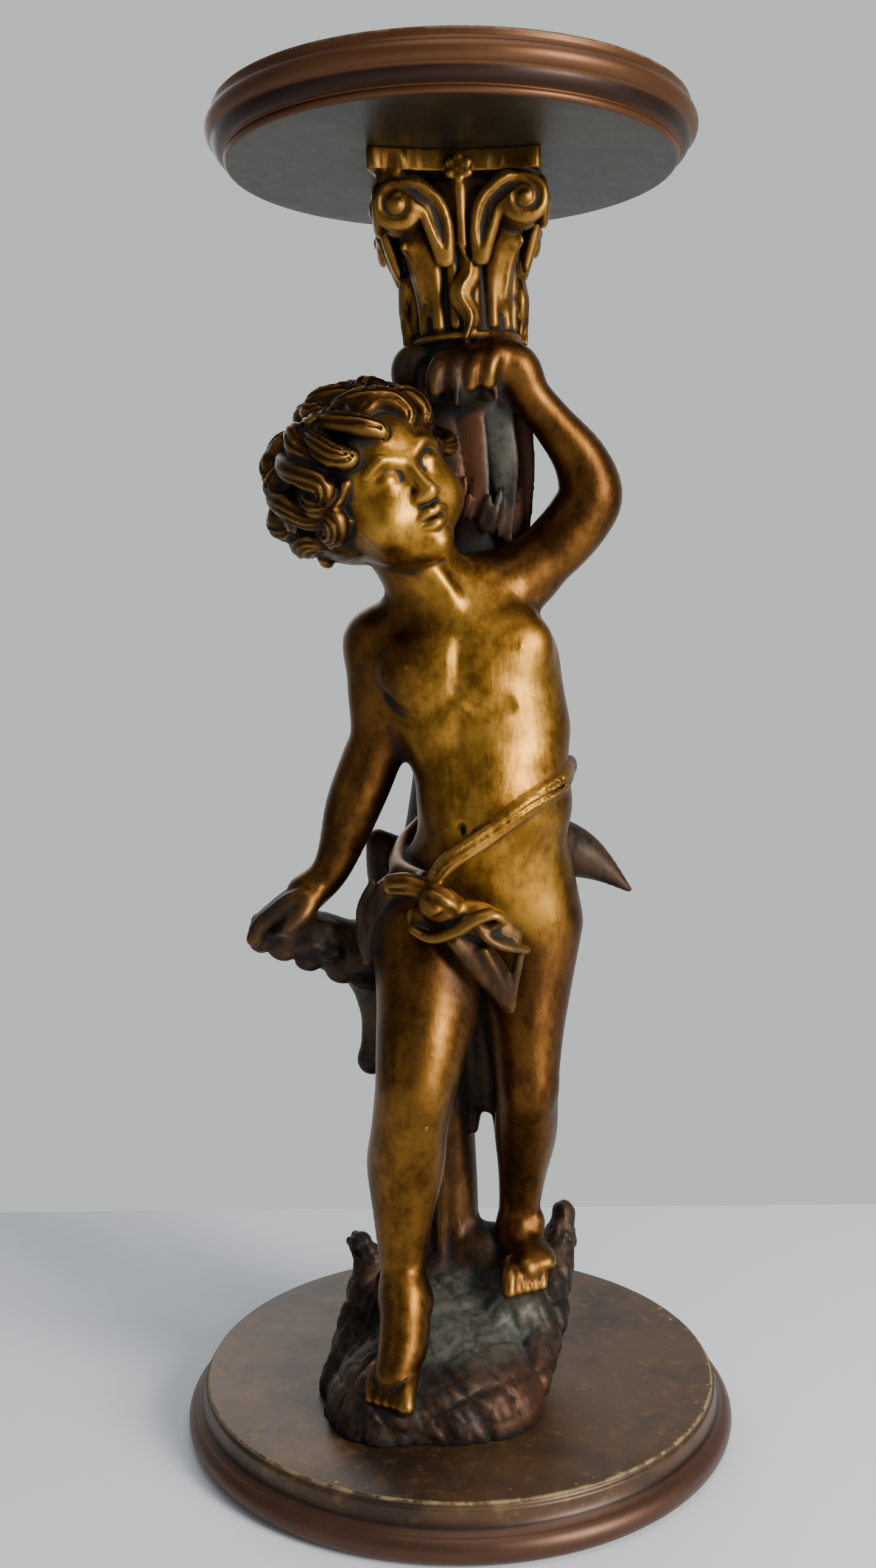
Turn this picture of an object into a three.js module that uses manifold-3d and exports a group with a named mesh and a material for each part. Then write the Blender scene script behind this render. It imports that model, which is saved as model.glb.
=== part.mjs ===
// Putto stand: a turned base, a carved child leaning on a tree that ends in a capital,
// and a turned round top. Millimetres, +Z up, front towards -Y, origin under the middle of the base.
import * as THREE from 'three';
import * as BufferGeometryUtils from 'three/addons/utils/BufferGeometryUtils.js';
import Module from 'manifold-3d';

const wasm = await Module();
wasm.setup();

// Driving dimensions
const totalHeight = 850;

const baseThickness = 34;
const baseFaceRadius = 170;
const baseRollRadius = 9;
const baseRollReach = 13;
const baseCoveDrop = 12;

const topThickness = 32;
const topFaceRadius = 149;
const topRollRadius = 6.5;
const topRollReach = 4.5;
const topUndersideRadius = 142;

const edgeStep = 3.5;
const edgeRounding = 1.2;
const beadRadius = 2.5;
const turnedSides = 44;

// The carving is drawn in units, this many high, and scaled to the height that the discs leave
const drawnUnitCount = 784;
const clayRowCount = 196;
const carvingFaceCount = 6800;
const carvingHeight = totalHeight - baseThickness - topThickness;
const share = carvingHeight / drawnUnitCount;
const clayCell = drawnUnitCount / clayRowCount;

const abacusThickness = 13;
const abacusHalf = 54;
const abacusHollow = 9;
const abacusCornerCut = 6;
const abacusShift = 1;
const astragalRadius = 33.5;
const voluteRadius = 15;
const voluteOut = 41;
const voluteHeight = 80;

const degree = Math.PI / 180;

// Points of a smooth curve through [x, y, z, radius] knots
function smoothPath(knots, stepsBetween) {
  const path = [];
  for (let span = 0; span < knots.length - 1; span += 1) {
    const before = knots[Math.max(span - 1, 0)];
    const start = knots[span];
    const end = knots[span + 1];
    const after = knots[Math.min(span + 2, knots.length - 1)];
    for (let step = 0; step < stepsBetween; step += 1) {
      const t = step / stepsBetween;
      path.push(start.map((value, k) => 0.5 * (2 * value + (end[k] - before[k]) * t
        + (2 * before[k] - 5 * value + 4 * end[k] - after[k]) * t * t
        + (3 * value - before[k] - 3 * end[k] + after[k]) * t * t * t)));
    }
  }
  path.push(knots[knots.length - 1]);
  return path;
}

// An egg: an ellipsoid with its own half-widths, turned about X, Y and Z in degrees
function egg(centre, halves, turn = [0, 0, 0]) {
  const [a, b, c] = turn.map((angle) => angle * degree);
  const back = new THREE.Matrix4().makeRotationFromEuler(new THREE.Euler(a, b, c)).transpose().elements;
  const reach = Math.max(...halves);
  const [hx, hy, hz] = halves;
  return {
    low: centre.map((value) => value - reach),
    high: centre.map((value) => value + reach),
    distance(x, y, z) {
      const dx = x - centre[0];
      const dy = y - centre[1];
      const dz = z - centre[2];
      const u = (back[0] * dx + back[4] * dy + back[8] * dz) / hx;
      const v = (back[1] * dx + back[5] * dy + back[9] * dz) / hy;
      const w = (back[2] * dx + back[6] * dy + back[10] * dz) / hz;
      const near = Math.sqrt(u * u + v * v + w * w);
      const slope = Math.sqrt((u / hx) ** 2 + (v / hy) ** 2 + (w / hz) ** 2);
      return slope > 0 ? near * (near - 1) / slope : -Math.min(hx, hy, hz);
    },
  };
}

// A limb: a round bar of changing thickness along a smooth path of [x, y, z, radius] knots.
// With a flat direction it is squeezed that way, as a leaf or a fold of cloth is.
function limb(knots, { steps = 5, flat = null, squeeze = 1 } = {}) {
  const path = smoothPath(knots, steps);
  const low = [0, 1, 2].map((k) => Math.min(...path.map((p) => p[k] - p[3])));
  const high = [0, 1, 2].map((k) => Math.max(...path.map((p) => p[k] + p[3])));
  const side = flat ? new THREE.Vector3(...flat).normalize().toArray() : [0, 0, 0];
  const stretch = flat ? 1 / squeeze - 1 : 0;
  const scale = flat ? 0.5 * (1 + squeeze) : 1;
  return {
    low,
    high,
    distance(x, y, z) {
      let best = Infinity;
      for (let k = 0; k < path.length - 1; k += 1) {
        const a = path[k];
        const b = path[k + 1];
        const px = x - a[0];
        const py = y - a[1];
        const pz = z - a[2];
        const bx = b[0] - a[0];
        const by = b[1] - a[1];
        const bz = b[2] - a[2];
        const along = (px * bx + py * by + pz * bz) / (bx * bx + by * by + bz * bz + 1e-9);
        const t = Math.min(1, Math.max(0, along));
        const dx = px - bx * t;
        const dy = py - by * t;
        const dz = pz - bz * t;
        const push = (dx * side[0] + dy * side[1] + dz * side[2]) * stretch;
        const gap = Math.hypot(dx + side[0] * push, dy + side[1] * push, dz + side[2] * push);
        best = Math.min(best, (gap - a[3] - (b[3] - a[3]) * t) * scale);
      }
      return best;
    },
  };
}

// The same shape placed by a matrix that turns and shifts it
function moved(shape, matrix) {
  const box = new THREE.Box3(new THREE.Vector3(...shape.low), new THREE.Vector3(...shape.high));
  box.applyMatrix4(matrix);
  const e = matrix.clone().invert().elements;
  return {
    low: box.min.toArray(),
    high: box.max.toArray(),
    distance: (x, y, z) => shape.distance(
      e[0] * x + e[4] * y + e[8] * z + e[12],
      e[1] * x + e[5] * y + e[9] * z + e[13],
      e[2] * x + e[6] * y + e[10] * z + e[14],
    ),
  };
}

// Clay: a grid of distances to the surface, to which shapes are added, cut and blended
const clayLow = [-148, -128, -12];
const clayHigh = [132, 92, drawnUnitCount + 6];
const farAway = 60;
const clayCounts = clayLow.map((low, k) => Math.ceil((clayHigh[k] - low) / clayCell) + 1);
const rowStep = clayCounts[0];
const layerStep = clayCounts[0] * clayCounts[1];

class Clay {
  constructor() {
    this.field = new Float32Array(layerStep * clayCounts[2]).fill(farAway);
  }

  visit(shape, margin, change) {
    const first = shape.low.map((low, k) => Math.max(
      0,
      Math.floor((low - margin - clayLow[k]) / clayCell),
    ));
    const last = shape.high.map((high, k) => Math.min(
      clayCounts[k] - 1,
      Math.ceil((high + margin - clayLow[k]) / clayCell),
    ));
    for (let k = first[2]; k <= last[2]; k += 1) {
      const z = clayLow[2] + k * clayCell;
      for (let j = first[1]; j <= last[1]; j += 1) {
        const y = clayLow[1] + j * clayCell;
        for (let i = first[0]; i <= last[0]; i += 1) {
          const n = i + j * rowStep + k * layerStep;
          const x = clayLow[0] + i * clayCell;
          this.field[n] = change(this.field[n], x, y, z);
        }
      }
    }
  }

  add(shape, blend = 0) {
    this.visit(shape, blend + 2 * clayCell, (old, x, y, z) => {
      const fresh = shape.distance(x, y, z);
      const overlap = blend > 0 ? Math.max(blend - Math.abs(old - fresh), 0) / blend : 0;
      return Math.min(old, fresh) - overlap * overlap * blend / 4;
    });
    return this;
  }

  cut(shape, blend = 0) {
    this.visit(shape, blend + 2 * clayCell, (old, x, y, z) => {
      const fresh = -shape.distance(x, y, z);
      const overlap = blend > 0 ? Math.max(blend - Math.abs(old - fresh), 0) / blend : 0;
      return Math.max(old, fresh) + overlap * overlap * blend / 4;
    });
    return this;
  }

  // Nothing reaches the edge of the grid, so the skin always closes
  close() {
    const [nx, ny, nz] = clayCounts;
    for (let n = 0; n < this.field.length; n += 1) {
      const i = n % nx;
      const j = Math.floor(n / nx) % ny;
      const k = Math.floor(n / layerStep);
      const onEdge = i === 0 || j === 0 || k === 0 || i === nx - 1 || j === ny - 1 || k === nz - 1;
      if (onEdge) this.field[n] = Math.max(this.field[n], clayCell);
    }
    return this;
  }

  join(other, blend) {
    for (let n = 0; n < this.field.length; n += 1) {
      const overlap = Math.max(blend - Math.abs(this.field[n] - other.field[n]), 0) / blend;
      this.field[n] = Math.min(this.field[n], other.field[n]) - overlap * overlap * blend / 4;
    }
    return this;
  }
}

// The child's body, standing at ease with its weight on its left leg
const hipRight = [-22, -22, 302, 33];
const hipLeft = [50, -8, 306, 33];
const shoulderRight = [-47, -10, 488, 22];
const shoulderLeft = [47, -5, 532, 19];

function addTorso(clay) {
  clay.add(egg([8, -14, 468], [60, 41, 52], [0, -16, 0]), 8);
  clay.add(limb([[...shoulderRight], [0, -10, 508, 29], [...shoulderLeft]]), 16);
  clay.add(egg([20, -15, 432], [54, 39, 48]), 16);
  clay.add(egg([25, -18, 386], [50, 41, 48]), 16);
  clay.add(egg([18, -34, 384], [36, 28, 40]), 16);
  clay.add(egg([20, -8, 336], [57, 43, 42]), 18);
  clay.add(egg([-6, 18, 312], [31, 30, 34]), 12);
  clay.add(egg([44, 20, 318], [31, 30, 34]), 12);
  clay.add(egg([-24, -36, 476], [26, 15, 20], [0, -20, 0]), 12);
  clay.add(egg([36, -34, 488], [27, 15, 22], [0, -20, 0]), 12);
  clay.cut(limb([[4, -62, 492, 2.5], [10, -62, 450, 3], [17, -68, 410, 2]]), 10);
  clay.cut(egg([1, -62, 372], [2.5, 5, 3]), 4);
}

function addNeck(clay) {
  clay.add(limb([[-8, -12, 500, 28], [-20, -20, 532, 26], [-32, -28, 556, 27]]), 10);
  clay.add(limb([[-18, 2, 520, 18], [18, 2, 524, 20], [44, 0, 530, 18]]), 12);
}

function addRightLeg(clay) {
  clay.add(limb([
    hipRight,
    [-19, -42, 266, 33],
    [-23, -60, 238, 29],
    [-27, -67, 214, 25.5],
    [-31, -63, 188, 24],
    [-34, -54, 158, 24.5],
    [-36, -53, 127, 19.5],
    [-37, -54, 92, 14.5],
    [-36, -60, 74, 15],
  ]), 14);
  clay.add(egg([-27, -76, 214], [18, 16, 19]), 8);
  clay.add(egg([-35, -45, 160], [21, 20, 30]), 8);
  clay.add(limb([[-35, -62, 76, 15], [-36, -78, 52, 16], [-42, -91, 34, 13]]), 8);
  clay.add(egg([-42, -42, 62], [12, 13, 14]), 8);
  for (let toe = 0; toe < 5; toe += 1) {
    const x = -35 - toe * 5.6;
    const y = -103 + toe * 3.2;
    const size = toe === 0 ? 6.4 : 4.6 - toe * 0.25;
    const knots = [[x + 1, y + 9, 30, size], [x, y - 3, 23, size], [x - 0.5, y - 9, 16, size * 0.9]];
    clay.add(limb(knots), 2);
  }
}

function addLeftLeg(clay) {
  clay.add(limb([
    hipLeft,
    [46, -12, 270, 30],
    [45, -20, 236, 24.5],
    [45, -25, 200, 20.5],
    [45, -12, 166, 20.5],
    [43, -2, 132, 16],
    [41, 2, 106, 13.5],
    [40, 0, 92, 13.5],
  ]), 14);
  clay.add(egg([47, -32, 200], [15, 13, 17]), 8);
  clay.add(egg([45, 0, 168], [18, 18, 28]), 8);
  clay.add(limb([[40, 2, 92, 13.5], [42, -12, 82, 13], [44, -27, 77, 11]]), 8);
  clay.add(egg([56, -14, 80], [12, 20, 12], [0, 0, 20]), 8);
  for (let toe = 0; toe < 5; toe += 1) {
    const x = 34 + toe * 5.6;
    const size = toe === 0 ? 5.4 : 4.4 - toe * 0.2;
    const tip = -43 + toe * 2.6;
    clay.add(limb([[x, -27, 80, size], [x, tip + 4, 76, size], [x, tip, 70, size * 0.9]]), 2);
  }
}

function addRightArm(clay) {
  clay.add(limb([
    shoulderRight,
    [-51, -8, 462, 18.5],
    [-50, -6, 430, 18],
    [-56, -5, 410, 19],
    [-67, -7, 382, 18],
    [-77, -9, 352, 13.5],
    [-85, -10, 337, 12],
    [-98, -12, 326, 13],
  ]), 12);
  for (let finger = 0; finger < 4; finger += 1) {
    const y = -25 + finger * 7;
    clay.add(limb([
      [-100, y + 2, 324, 6.6],
      [-115, y, 316, 6],
      [-127, y, 307, 5.6],
      [-132, y, 298, 5],
    ]), 3);
  }
  clay.add(limb([[-90, -20, 328, 6.5], [-96, -30, 316, 5.4], [-103, -33, 306, 4.8]]), 4);
}

function addLeftArm(clay) {
  clay.add(limb([
    shoulderLeft,
    [67, -5, 551, 20.5],
    [81, -6, 568, 21],
    [87, -9, 583, 20.5],
    [80, -12, 604, 17],
    [63, -17, 625, 13.5],
    [48, -22, 640, 12],
    [36, -27, 652, 13.5],
  ]), 8);
  for (let finger = 0; finger < 4; finger += 1) {
    const x = 33 - finger * 8;
    clay.add(limb([
      [x + 3, -28, 664, 6],
      [x - 2, -38, 666, 5.2],
      [x - 5, -44, 657, 4.8],
      [x - 6, -44, 648, 4.2],
    ]), 3);
  }
  clay.add(limb([[36, -34, 652, 6.5], [26, -42, 643, 5.2], [17, -45, 640, 4.6]]), 4);
}

// The head, drawn upright and facing the front, then turned to its tilt
const headPlace = new THREE.Matrix4().makeTranslation(-48, -40, 583)
  .multiply(new THREE.Matrix4().makeRotationY(-29 * degree))
  .multiply(new THREE.Matrix4().makeRotationZ(30 * degree))
  .multiply(new THREE.Matrix4().makeRotationX(6 * degree));
const skullHalves = [48, 54, 48];
const skullMiddle = [0, 10, 6];

// Larger locks over the brow: turn, height, length, bend and thickness
const forelocks = [
  [-14, 62, 30, 1, 10],
  [-24, 46, 26, 1, 7],
  [6, 48, 30, 1, 8],
  [24, 46, 30, 1, 7],
  [44, 40, 28, 1, 8],
  [-46, 46, 30, -1, 10],
  [-70, 40, 30, -1, 10],
];

// Ring curls round an open middle on the side that shows: turn, height and size in degrees
const curls = [
  [-42, 25, 11],
  [-66, 12, 12],
  [-84, 34, 11],
  [-70, -16, 10],
  [-92, -2, 11],
  [-84, -36, 9],
];

function addHead(clay) {
  const head = new Clay();
  const add = (shape, blend) => head.add(moved(shape, headPlace), blend);
  const cut = (shape, blend) => head.cut(moved(shape, headPlace), blend);
  add(egg(skullMiddle, skullHalves), 0);
  add(egg([0, -15, -12], [36, 33, 42]), 10);
  add(egg([0, -33, -44], [12, 12, 10]), 10);
  add(egg([0, -26, 18], [33, 21, 24]), 10);
  for (const side of [-1, 1]) {
    add(egg([side * 20, -30, -20], [16, 14, 16]), 8);
    cut(egg([side * 15, -50, 2], [9, 7, 6]), 6);
    add(egg([side * 15, -39.5, 1], [8, 7, 6.5]), 1.5);
    add(limb([[side * 7, -46, 8, 2.5], [side * 16, -46, 12, 3], [side * 26, -40, 8, 2.5]]), 4);
    add(egg([side * 42, 6, -10], [6, 11, 15]), 3);
    add(egg([side * 5.5, -50, -16], [4, 5, 3.5]), 2.5);
  }
  add(limb([[0, -44, 8, 4.5], [0, -50, -5, 4.6], [0, -54, -14, 5.6]]), 4);
  add(limb([[-11, -43, -28, 2.4], [0, -49, -25.5, 3.4], [11, -43, -28, 2.4]]), 2);
  add(limb([[-8, -43, -33, 2.6], [0, -47, -34, 3.8], [8, -43, -33, 2.6]]), 2);
  clay.join(head, 5);
}

// A point on the scalp: turn from the face over the head, and height above the brow, in degrees
function scalp(turn, height, lift) {
  const t = turn * degree;
  const h = height * degree;
  return [
    skullMiddle[0] + (skullHalves[0] + lift) * Math.sin(t) * Math.cos(h),
    skullMiddle[1] - (skullHalves[1] + lift) * Math.cos(t) * Math.cos(h),
    skullMiddle[2] + (skullHalves[2] + lift) * Math.sin(h),
  ];
}

// A lock of hair: it leaves the scalp, swells, sweeps down and rolls over to one side at its tip
function lock(turn, height, length, bend, thickness) {
  const knots = [];
  for (let k = 0; k < 6; k += 1) {
    const t = k / 5;
    const point = scalp(
      turn + bend * length * (0.2 * t + 0.75 * t * t) / Math.max(0.5, Math.cos(height * degree)),
      height - length * (1.1 * t - 0.55 * t * t),
      1 + (height < 0 ? 4 : 7) * Math.sin(Math.PI * Math.min(1, 1.15 * t)),
    );
    knots.push([...point, thickness * (0.75 + 0.35 * Math.sin(Math.PI * t) - 0.35 * t)]);
  }
  return limb(knots, { steps: 3 });
}

function curl(turn, height, size) {
  const knots = [];
  for (let k = 0; k <= 10; k += 1) {
    const angle = (110 - 40 * k) * degree;
    const radius = size * (1 - 0.035 * k);
    const across = radius * Math.cos(angle) / Math.max(0.4, Math.cos(height * degree));
    knots.push([...scalp(turn + across, height + radius * Math.sin(angle), 9), 5.6 - 0.15 * k]);
  }
  return limb(knots, { steps: 2 });
}

function addHair(clay) {
  const hair = new Clay();
  hair.add(moved(egg([0, 18, 9], [50, 53, 51]), headPlace));
  const rows = [
    [84, 5, 8.5, 30],
    [60, 9, 8.5, 30],
    [36, 12, 8, 30],
    [12, 14, 7.5, 30],
    [-12, 13, 5.8, 26],
    [-30, 9, 4.6, 18],
  ];
  rows.forEach(([height, count, thickness, length], row) => {
    for (let k = 0; k < count; k += 1) {
      const turn = 360 * (k + 0.5 * (row % 2)) / count + 9 * Math.sin(3 * k + row);
      const fromFace = Math.abs(((turn + 540) % 360) - 180);
      const hairline = [0, 0, 38, 62, 74, 92][row];
      if (fromFace >= hairline) {
        const bend = (k + row) % 2 === 0 ? 1 : -1;
        hair.add(moved(lock(turn, height, length, bend, thickness), headPlace), 1.5);
      }
    }
  });
  hair.add(moved(egg([-4, 0, 61], [13, 16, 11]), headPlace), 3);
  for (const [turn, height, length, bend, thickness] of forelocks) {
    hair.add(moved(lock(turn, height, length, bend, thickness), headPlace), 1.5);
  }
  for (const [turn, height, size] of curls) {
    hair.cut(moved(egg(scalp(turn, height, 12), [10, 10, 10]), headPlace), 4);
    hair.add(moved(curl(turn, height, size), headPlace), 1.5);
  }
  clay.join(hair, 2);
}

// The loincloth: a twisted strap over the left hip, a knot and a small flying hem
function addCloth(clay) {
  const cloth = new Clay();
  const strap = [[74, -8, 408], [66, -40, 400], [44, -60, 388], [16, -67, 369], [-12, -68, 350]];
  for (const shift of [-3.5, 3.5]) {
    cloth.add(limb(strap.map(([x, y, z]) => [x, y, z + shift, 5])), 1.5);
  }
  cloth.add(limb([[74, -8, 408, 5], [62, 20, 412, 5], [30, 38, 404, 5], [-8, 32, 378, 5]]), 2);
  cloth.add(limb([[-8, 32, 378, 6], [-32, 14, 356, 7], [-36, -24, 344, 7], [-20, -58, 342, 6]]), 3);
  cloth.add(egg([-14, -68, 334], [13, 9, 9], [0, 25, 0]), 4);
  cloth.add(egg([-38, -56, 342], [6, 6, 5]), 3);
  cloth.add(limb([[-18, -66, 335, 7], [-31, -62, 338, 7.5], [-40, -55, 337, 6]]), 3);
  const sheet = { flat: [0.1, -1, 0.2], squeeze: 0.5 };
  const upperSheet = [[-24, -68, 318, 8], [-6, -73, 320, 11], [14, -75, 318, 10], [32, -69, 306, 8]];
  const lowerSheet = [[0, -70, 308, 9], [14, -69, 292, 10], [25, -65, 276, 8], [32, -59, 259, 4]];
  cloth.add(limb(upperSheet, sheet), 5);
  cloth.add(limb(lowerSheet, sheet), 4);
  cloth.add(limb([
    [-28, -74, 311, 3.6],
    [-18, -78, 309, 4],
    [-2, -84, 317, 4.4],
    [10, -86, 325, 4.4],
    [22, -84, 326, 4.4],
    [27, -80, 319, 3.6],
  ]), 3);
  cloth.add(limb([[11, -80, 319, 3.6], [16, -79, 311, 4], [28, -76, 305, 4], [41, -67, 299, 4]]), 3);
  cloth.add(limb([[-8, -73, 328, 4.5], [2, -74, 305, 4], [16, -72, 290, 4], [31, -61, 262, 3.6]]), 2.5);
  cloth.add(limb([[40, -66, 300, 4.5], [37, -63, 286, 4], [33, -60, 265, 3.6]]), 2.5);
  cloth.add(limb([[12, -76, 312, 4], [22, -71, 296, 4], [31, -62, 272, 3.4]]), 2.5);
  const drape = { flat: [1, 0.7, 0], squeeze: 0.6 };
  const drapeKnots = [[-34, -32, 338, 9], [-50, -29, 324, 10], [-58, -23, 302, 10], [-58, -19, 285, 6]];
  cloth.add(limb(drapeKnots, drape), 5);
  clay.join(cloth, 2.5);
}

// The tree behind the child: trunk, two broken boughs and the bark that stands up by the head
function addTree(clay) {
  clay.add(limb([
    [-5, 18, 40, 24],
    [-5, 18, 72, 19],
    [-4, 20, 115, 17.6],
    [-7, 22, 157, 19],
    [-13, 28, 220, 25],
    [-22, 32, 300, 33],
    [-8, 42, 350, 28],
    [4, 42, 450, 26],
    [12, 30, 540, 28],
    [15, 24, 590, 29],
    [13, 18, 630, 30],
    [8, 4, 678, 33],
  ]), 6);
  clay.add(limb([
    [-22, 26, 276, 30],
    [-48, 18, 280, 26],
    [-72, 10, 284, 20],
    [-96, 3, 295, 17],
    [-124, -2, 299, 12],
  ]), 8);
  for (let knob = 0; knob < 5; knob += 1) {
    const turn = knob * 72 * degree;
    clay.add(egg([-129, -4 + 9 * Math.cos(turn), 298 + 8 * Math.sin(turn)], [7, 6, 6]), 3);
  }
  clay.add(limb([[-52, 18, 356, 8], [-40, 26, 335, 20], [-30, 30, 305, 26]]), 8);
  clay.add(limb([
    [10, 36, 352, 26],
    [52, 34, 352, 22],
    [78, 26, 347, 17.5],
    [97, 24, 337, 10.5],
    [117, 22, 321, 2],
  ]), 6);
  clay.add(limb([[-57, 18, 206, 9], [-51, 20, 236, 14], [-51, 18, 264, 21]]), 8);
  clay.add(egg([-58, 18, 206], [9, 10, 9]), 5);
  for (let ridge = 0; ridge < 10; ridge += 1) {
    const turn = ridge * 36 * degree;
    const knots = [[60, 22], [110, 17], [170, 19], [230, 25]].map(([z, r], k) => [
      -6 - k * 2.2 + r * Math.cos(turn + k * 0.12),
      18 + k * 3 + r * Math.sin(turn + k * 0.12),
      z,
      3.2,
    ]);
    clay.add(limb(knots), 3);
  }
  for (let plate = 0; plate < 11; plate += 1) {
    const turn = (190 + plate * 17 + 8 * Math.sin(5 * plate)) * degree;
    const foot = 552 + 34 * ((plate * 0.618) % 1);
    const height = 34 + 26 * ((plate * 0.382) % 1);
    const out = 28 + 3 * (plate % 2);
    const knots = [[0, 3], [0.35, 9], [0.75, 10], [1, 4]].map(([rise, size]) => [
      15 + out * Math.cos(turn + 0.2 * rise),
      23 - 8 * rise + out * Math.sin(turn + 0.2 * rise),
      foot + height * rise,
      size,
    ]);
    clay.add(limb(knots, { steps: 3, flat: [Math.cos(turn), Math.sin(turn), 0], squeeze: 0.5 }), 2);
  }
}

// The rocky mound that the feet and the tree stand on, with root stumps
function addMound(clay) {
  clay.add(egg([-4, -8, 0], [84, 76, 58]), 6);
  clay.add(egg([-46, -66, 0], [42, 46, 40]), 12);
  clay.add(egg([24, -58, 0], [40, 46, 42]), 12);
  clay.add(egg([-8, -84, 0], [30, 26, 30]), 10);
  clay.add(egg([-5, 18, 48], [36, 32, 34]), 14);
  clay.add(egg([42, -12, 46], [24, 32, 22]), 10);
  clay.add(limb([[-50, 12, 60, 16], [-64, 6, 74, 8.5], [-68, 4, 82, 7]]), 6);
  clay.add(limb([[-60, 2, 62, 11], [-66, -12, 44, 12], [-74, -28, 22, 12], [-80, -40, 4, 12]]), 6);
  clay.add(limb([
    [73, 27, 92, 7.5],
    [70, 21, 79, 11],
    [62, 6, 60, 15],
    [64, -14, 36, 15],
    [58, -52, 16, 14],
    [46, -82, 6, 14],
  ]), 6);
  for (let rock = 0; rock < 14; rock += 1) {
    const turn = (rock * 137.5) * degree;
    const out = 30 + 48 * ((rock * 0.618) % 1);
    clay.add(egg([
      -4 + out * Math.cos(turn),
      -20 + out * 1.02 * Math.sin(turn),
      52 * Math.sqrt(Math.max(0.02, 1 - (out / 84) ** 2)) - 4,
    ], [11, 11, 8], [0, 0, rock * 40]), 7);
  }
}

// The leafy collar under the capital, which the left hand holds
function addCollar(clay) {
  clay.add(egg([7, 2, 650], [36, 38, 20]), 6);
  for (let lobe = 0; lobe < 11; lobe += 1) {
    const turn = lobe * (360 / 11) * degree;
    const size = lobe % 2 === 0 ? 12 : 9;
    const centre = [8 + 33 * Math.cos(turn), 2 + 35 * Math.sin(turn), 648 + 4 * (lobe % 2)];
    clay.add(egg(centre, [size, size, 15]), 4);
  }
  clay.add(egg([-23, -14, 652], [13, 14, 17]), 4);
}

// The capital's own frame: it leans a little to the left as it rises
const capitalPlace = new THREE.Matrix4().makeTranslation(9, 0, 672)
  .multiply(new THREE.Matrix4().makeRotationY(-3 * degree));
const [ringRadius, scrollRadius, scrollOut, scrollHeight] = [
  astragalRadius,
  voluteRadius,
  voluteOut,
  voluteHeight,
].map((size) => size / share);

function addCapital(clay) {
  const capital = new Clay();
  const add = (shape, blend) => capital.add(moved(shape, capitalPlace), blend);
  add(limb([[0, 0, -6, 30], [0, 0, 30, 30], [0, 0, 64, 32], [0, 0, 92, 36]]), 0);
  const ring = Array.from({ length: 25 }, (_, k) => {
    const turn = k * 15 * degree;
    return [ringRadius * Math.cos(turn), ringRadius * Math.sin(turn), 6, 4];
  });
  add(limb(ring, { steps: 1 }), 1);
  for (let flute = 0; flute < 20; flute += 1) {
    const turn = (flute * 18 + 9) * degree;
    const [c, s] = [Math.cos(turn), Math.sin(turn)];
    add(limb([[31 * c, 31 * s, 14, 2.6], [31 * c, 31 * s, 34, 2.6], [34 * c, 34 * s, 56, 2.8]]), 1.5);
  }
  for (let corner = 0; corner < 4; corner += 1) {
    const turn = (45 + corner * 90) * degree;
    const [c, s] = [Math.cos(turn), Math.sin(turn)];
    const leaf = { flat: [c, s, 0], squeeze: 0.5 };
    const leafKnots = [[30, 26, 8], [33, 46, 12], [41, 61, 10], [47, 60, 5.5]];
    const stemKnots = [[36, 62, 8], [46, 82, 9], [58, 98, 9]];
    add(limb(leafKnots.map(([out, z, size]) => [out * c, out * s, z, size]), leaf), 4);
    add(limb(stemKnots.map(([out, z, size]) => [out * c, out * s, z, size])), 5);
  }
  for (let face = 0; face < 4; face += 1) {
    const turn = new THREE.Matrix4().makeRotationZ(face * 90 * degree);
    const addFace = (shape, blend) => capital.add(moved(moved(shape, turn), capitalPlace), blend);
    const leaf = { flat: [0, 1, 0], squeeze: 0.6 };
    addFace(limb([[0, -29, 14, 5], [0, -30, 34, 7], [0, -33, 52, 6], [0, -40, 58, 4]], leaf), 2);
    addFace(limb([[0, -38, 58, 4], [0, -42, 80, 4], [0, -45, 98, 5]]), 2);
    addFace(egg([0, -46, 100], [9, 6, 8]), 2);
    for (const side of [-1, 1]) {
      const spiral = [[side * 3, -40, 56, 3], [side * 9, -43, 74, 3.2], [side * 18, -46, 87, 3.4]];
      for (let k = 0; k <= 12; k += 1) {
        const angle = (50 + k * 42) * degree;
        const radius = scrollRadius - k * 0.95;
        const x = side * (scrollOut - radius * Math.cos(angle));
        spiral.push([x, -47, scrollHeight + radius * Math.sin(angle), 3.2]);
      }
      addFace(limb(spiral, { steps: 2 }), 1.5);
      addFace(egg([side * scrollOut, -43, scrollHeight], [12, 4, 12]), 3);
    }
  }
  clay.join(capital, 3);
}

// The skin of the clay: each cell is split into six tetrahedra that share their diagonals
const cellTetrahedra = [[0, 1, 2], [0, 2, 1], [1, 0, 2], [1, 2, 0], [2, 0, 1], [2, 1, 0]]
  .map(([a, b]) => [0, 1 << a, (1 << a) | (1 << b), 7]);

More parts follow.
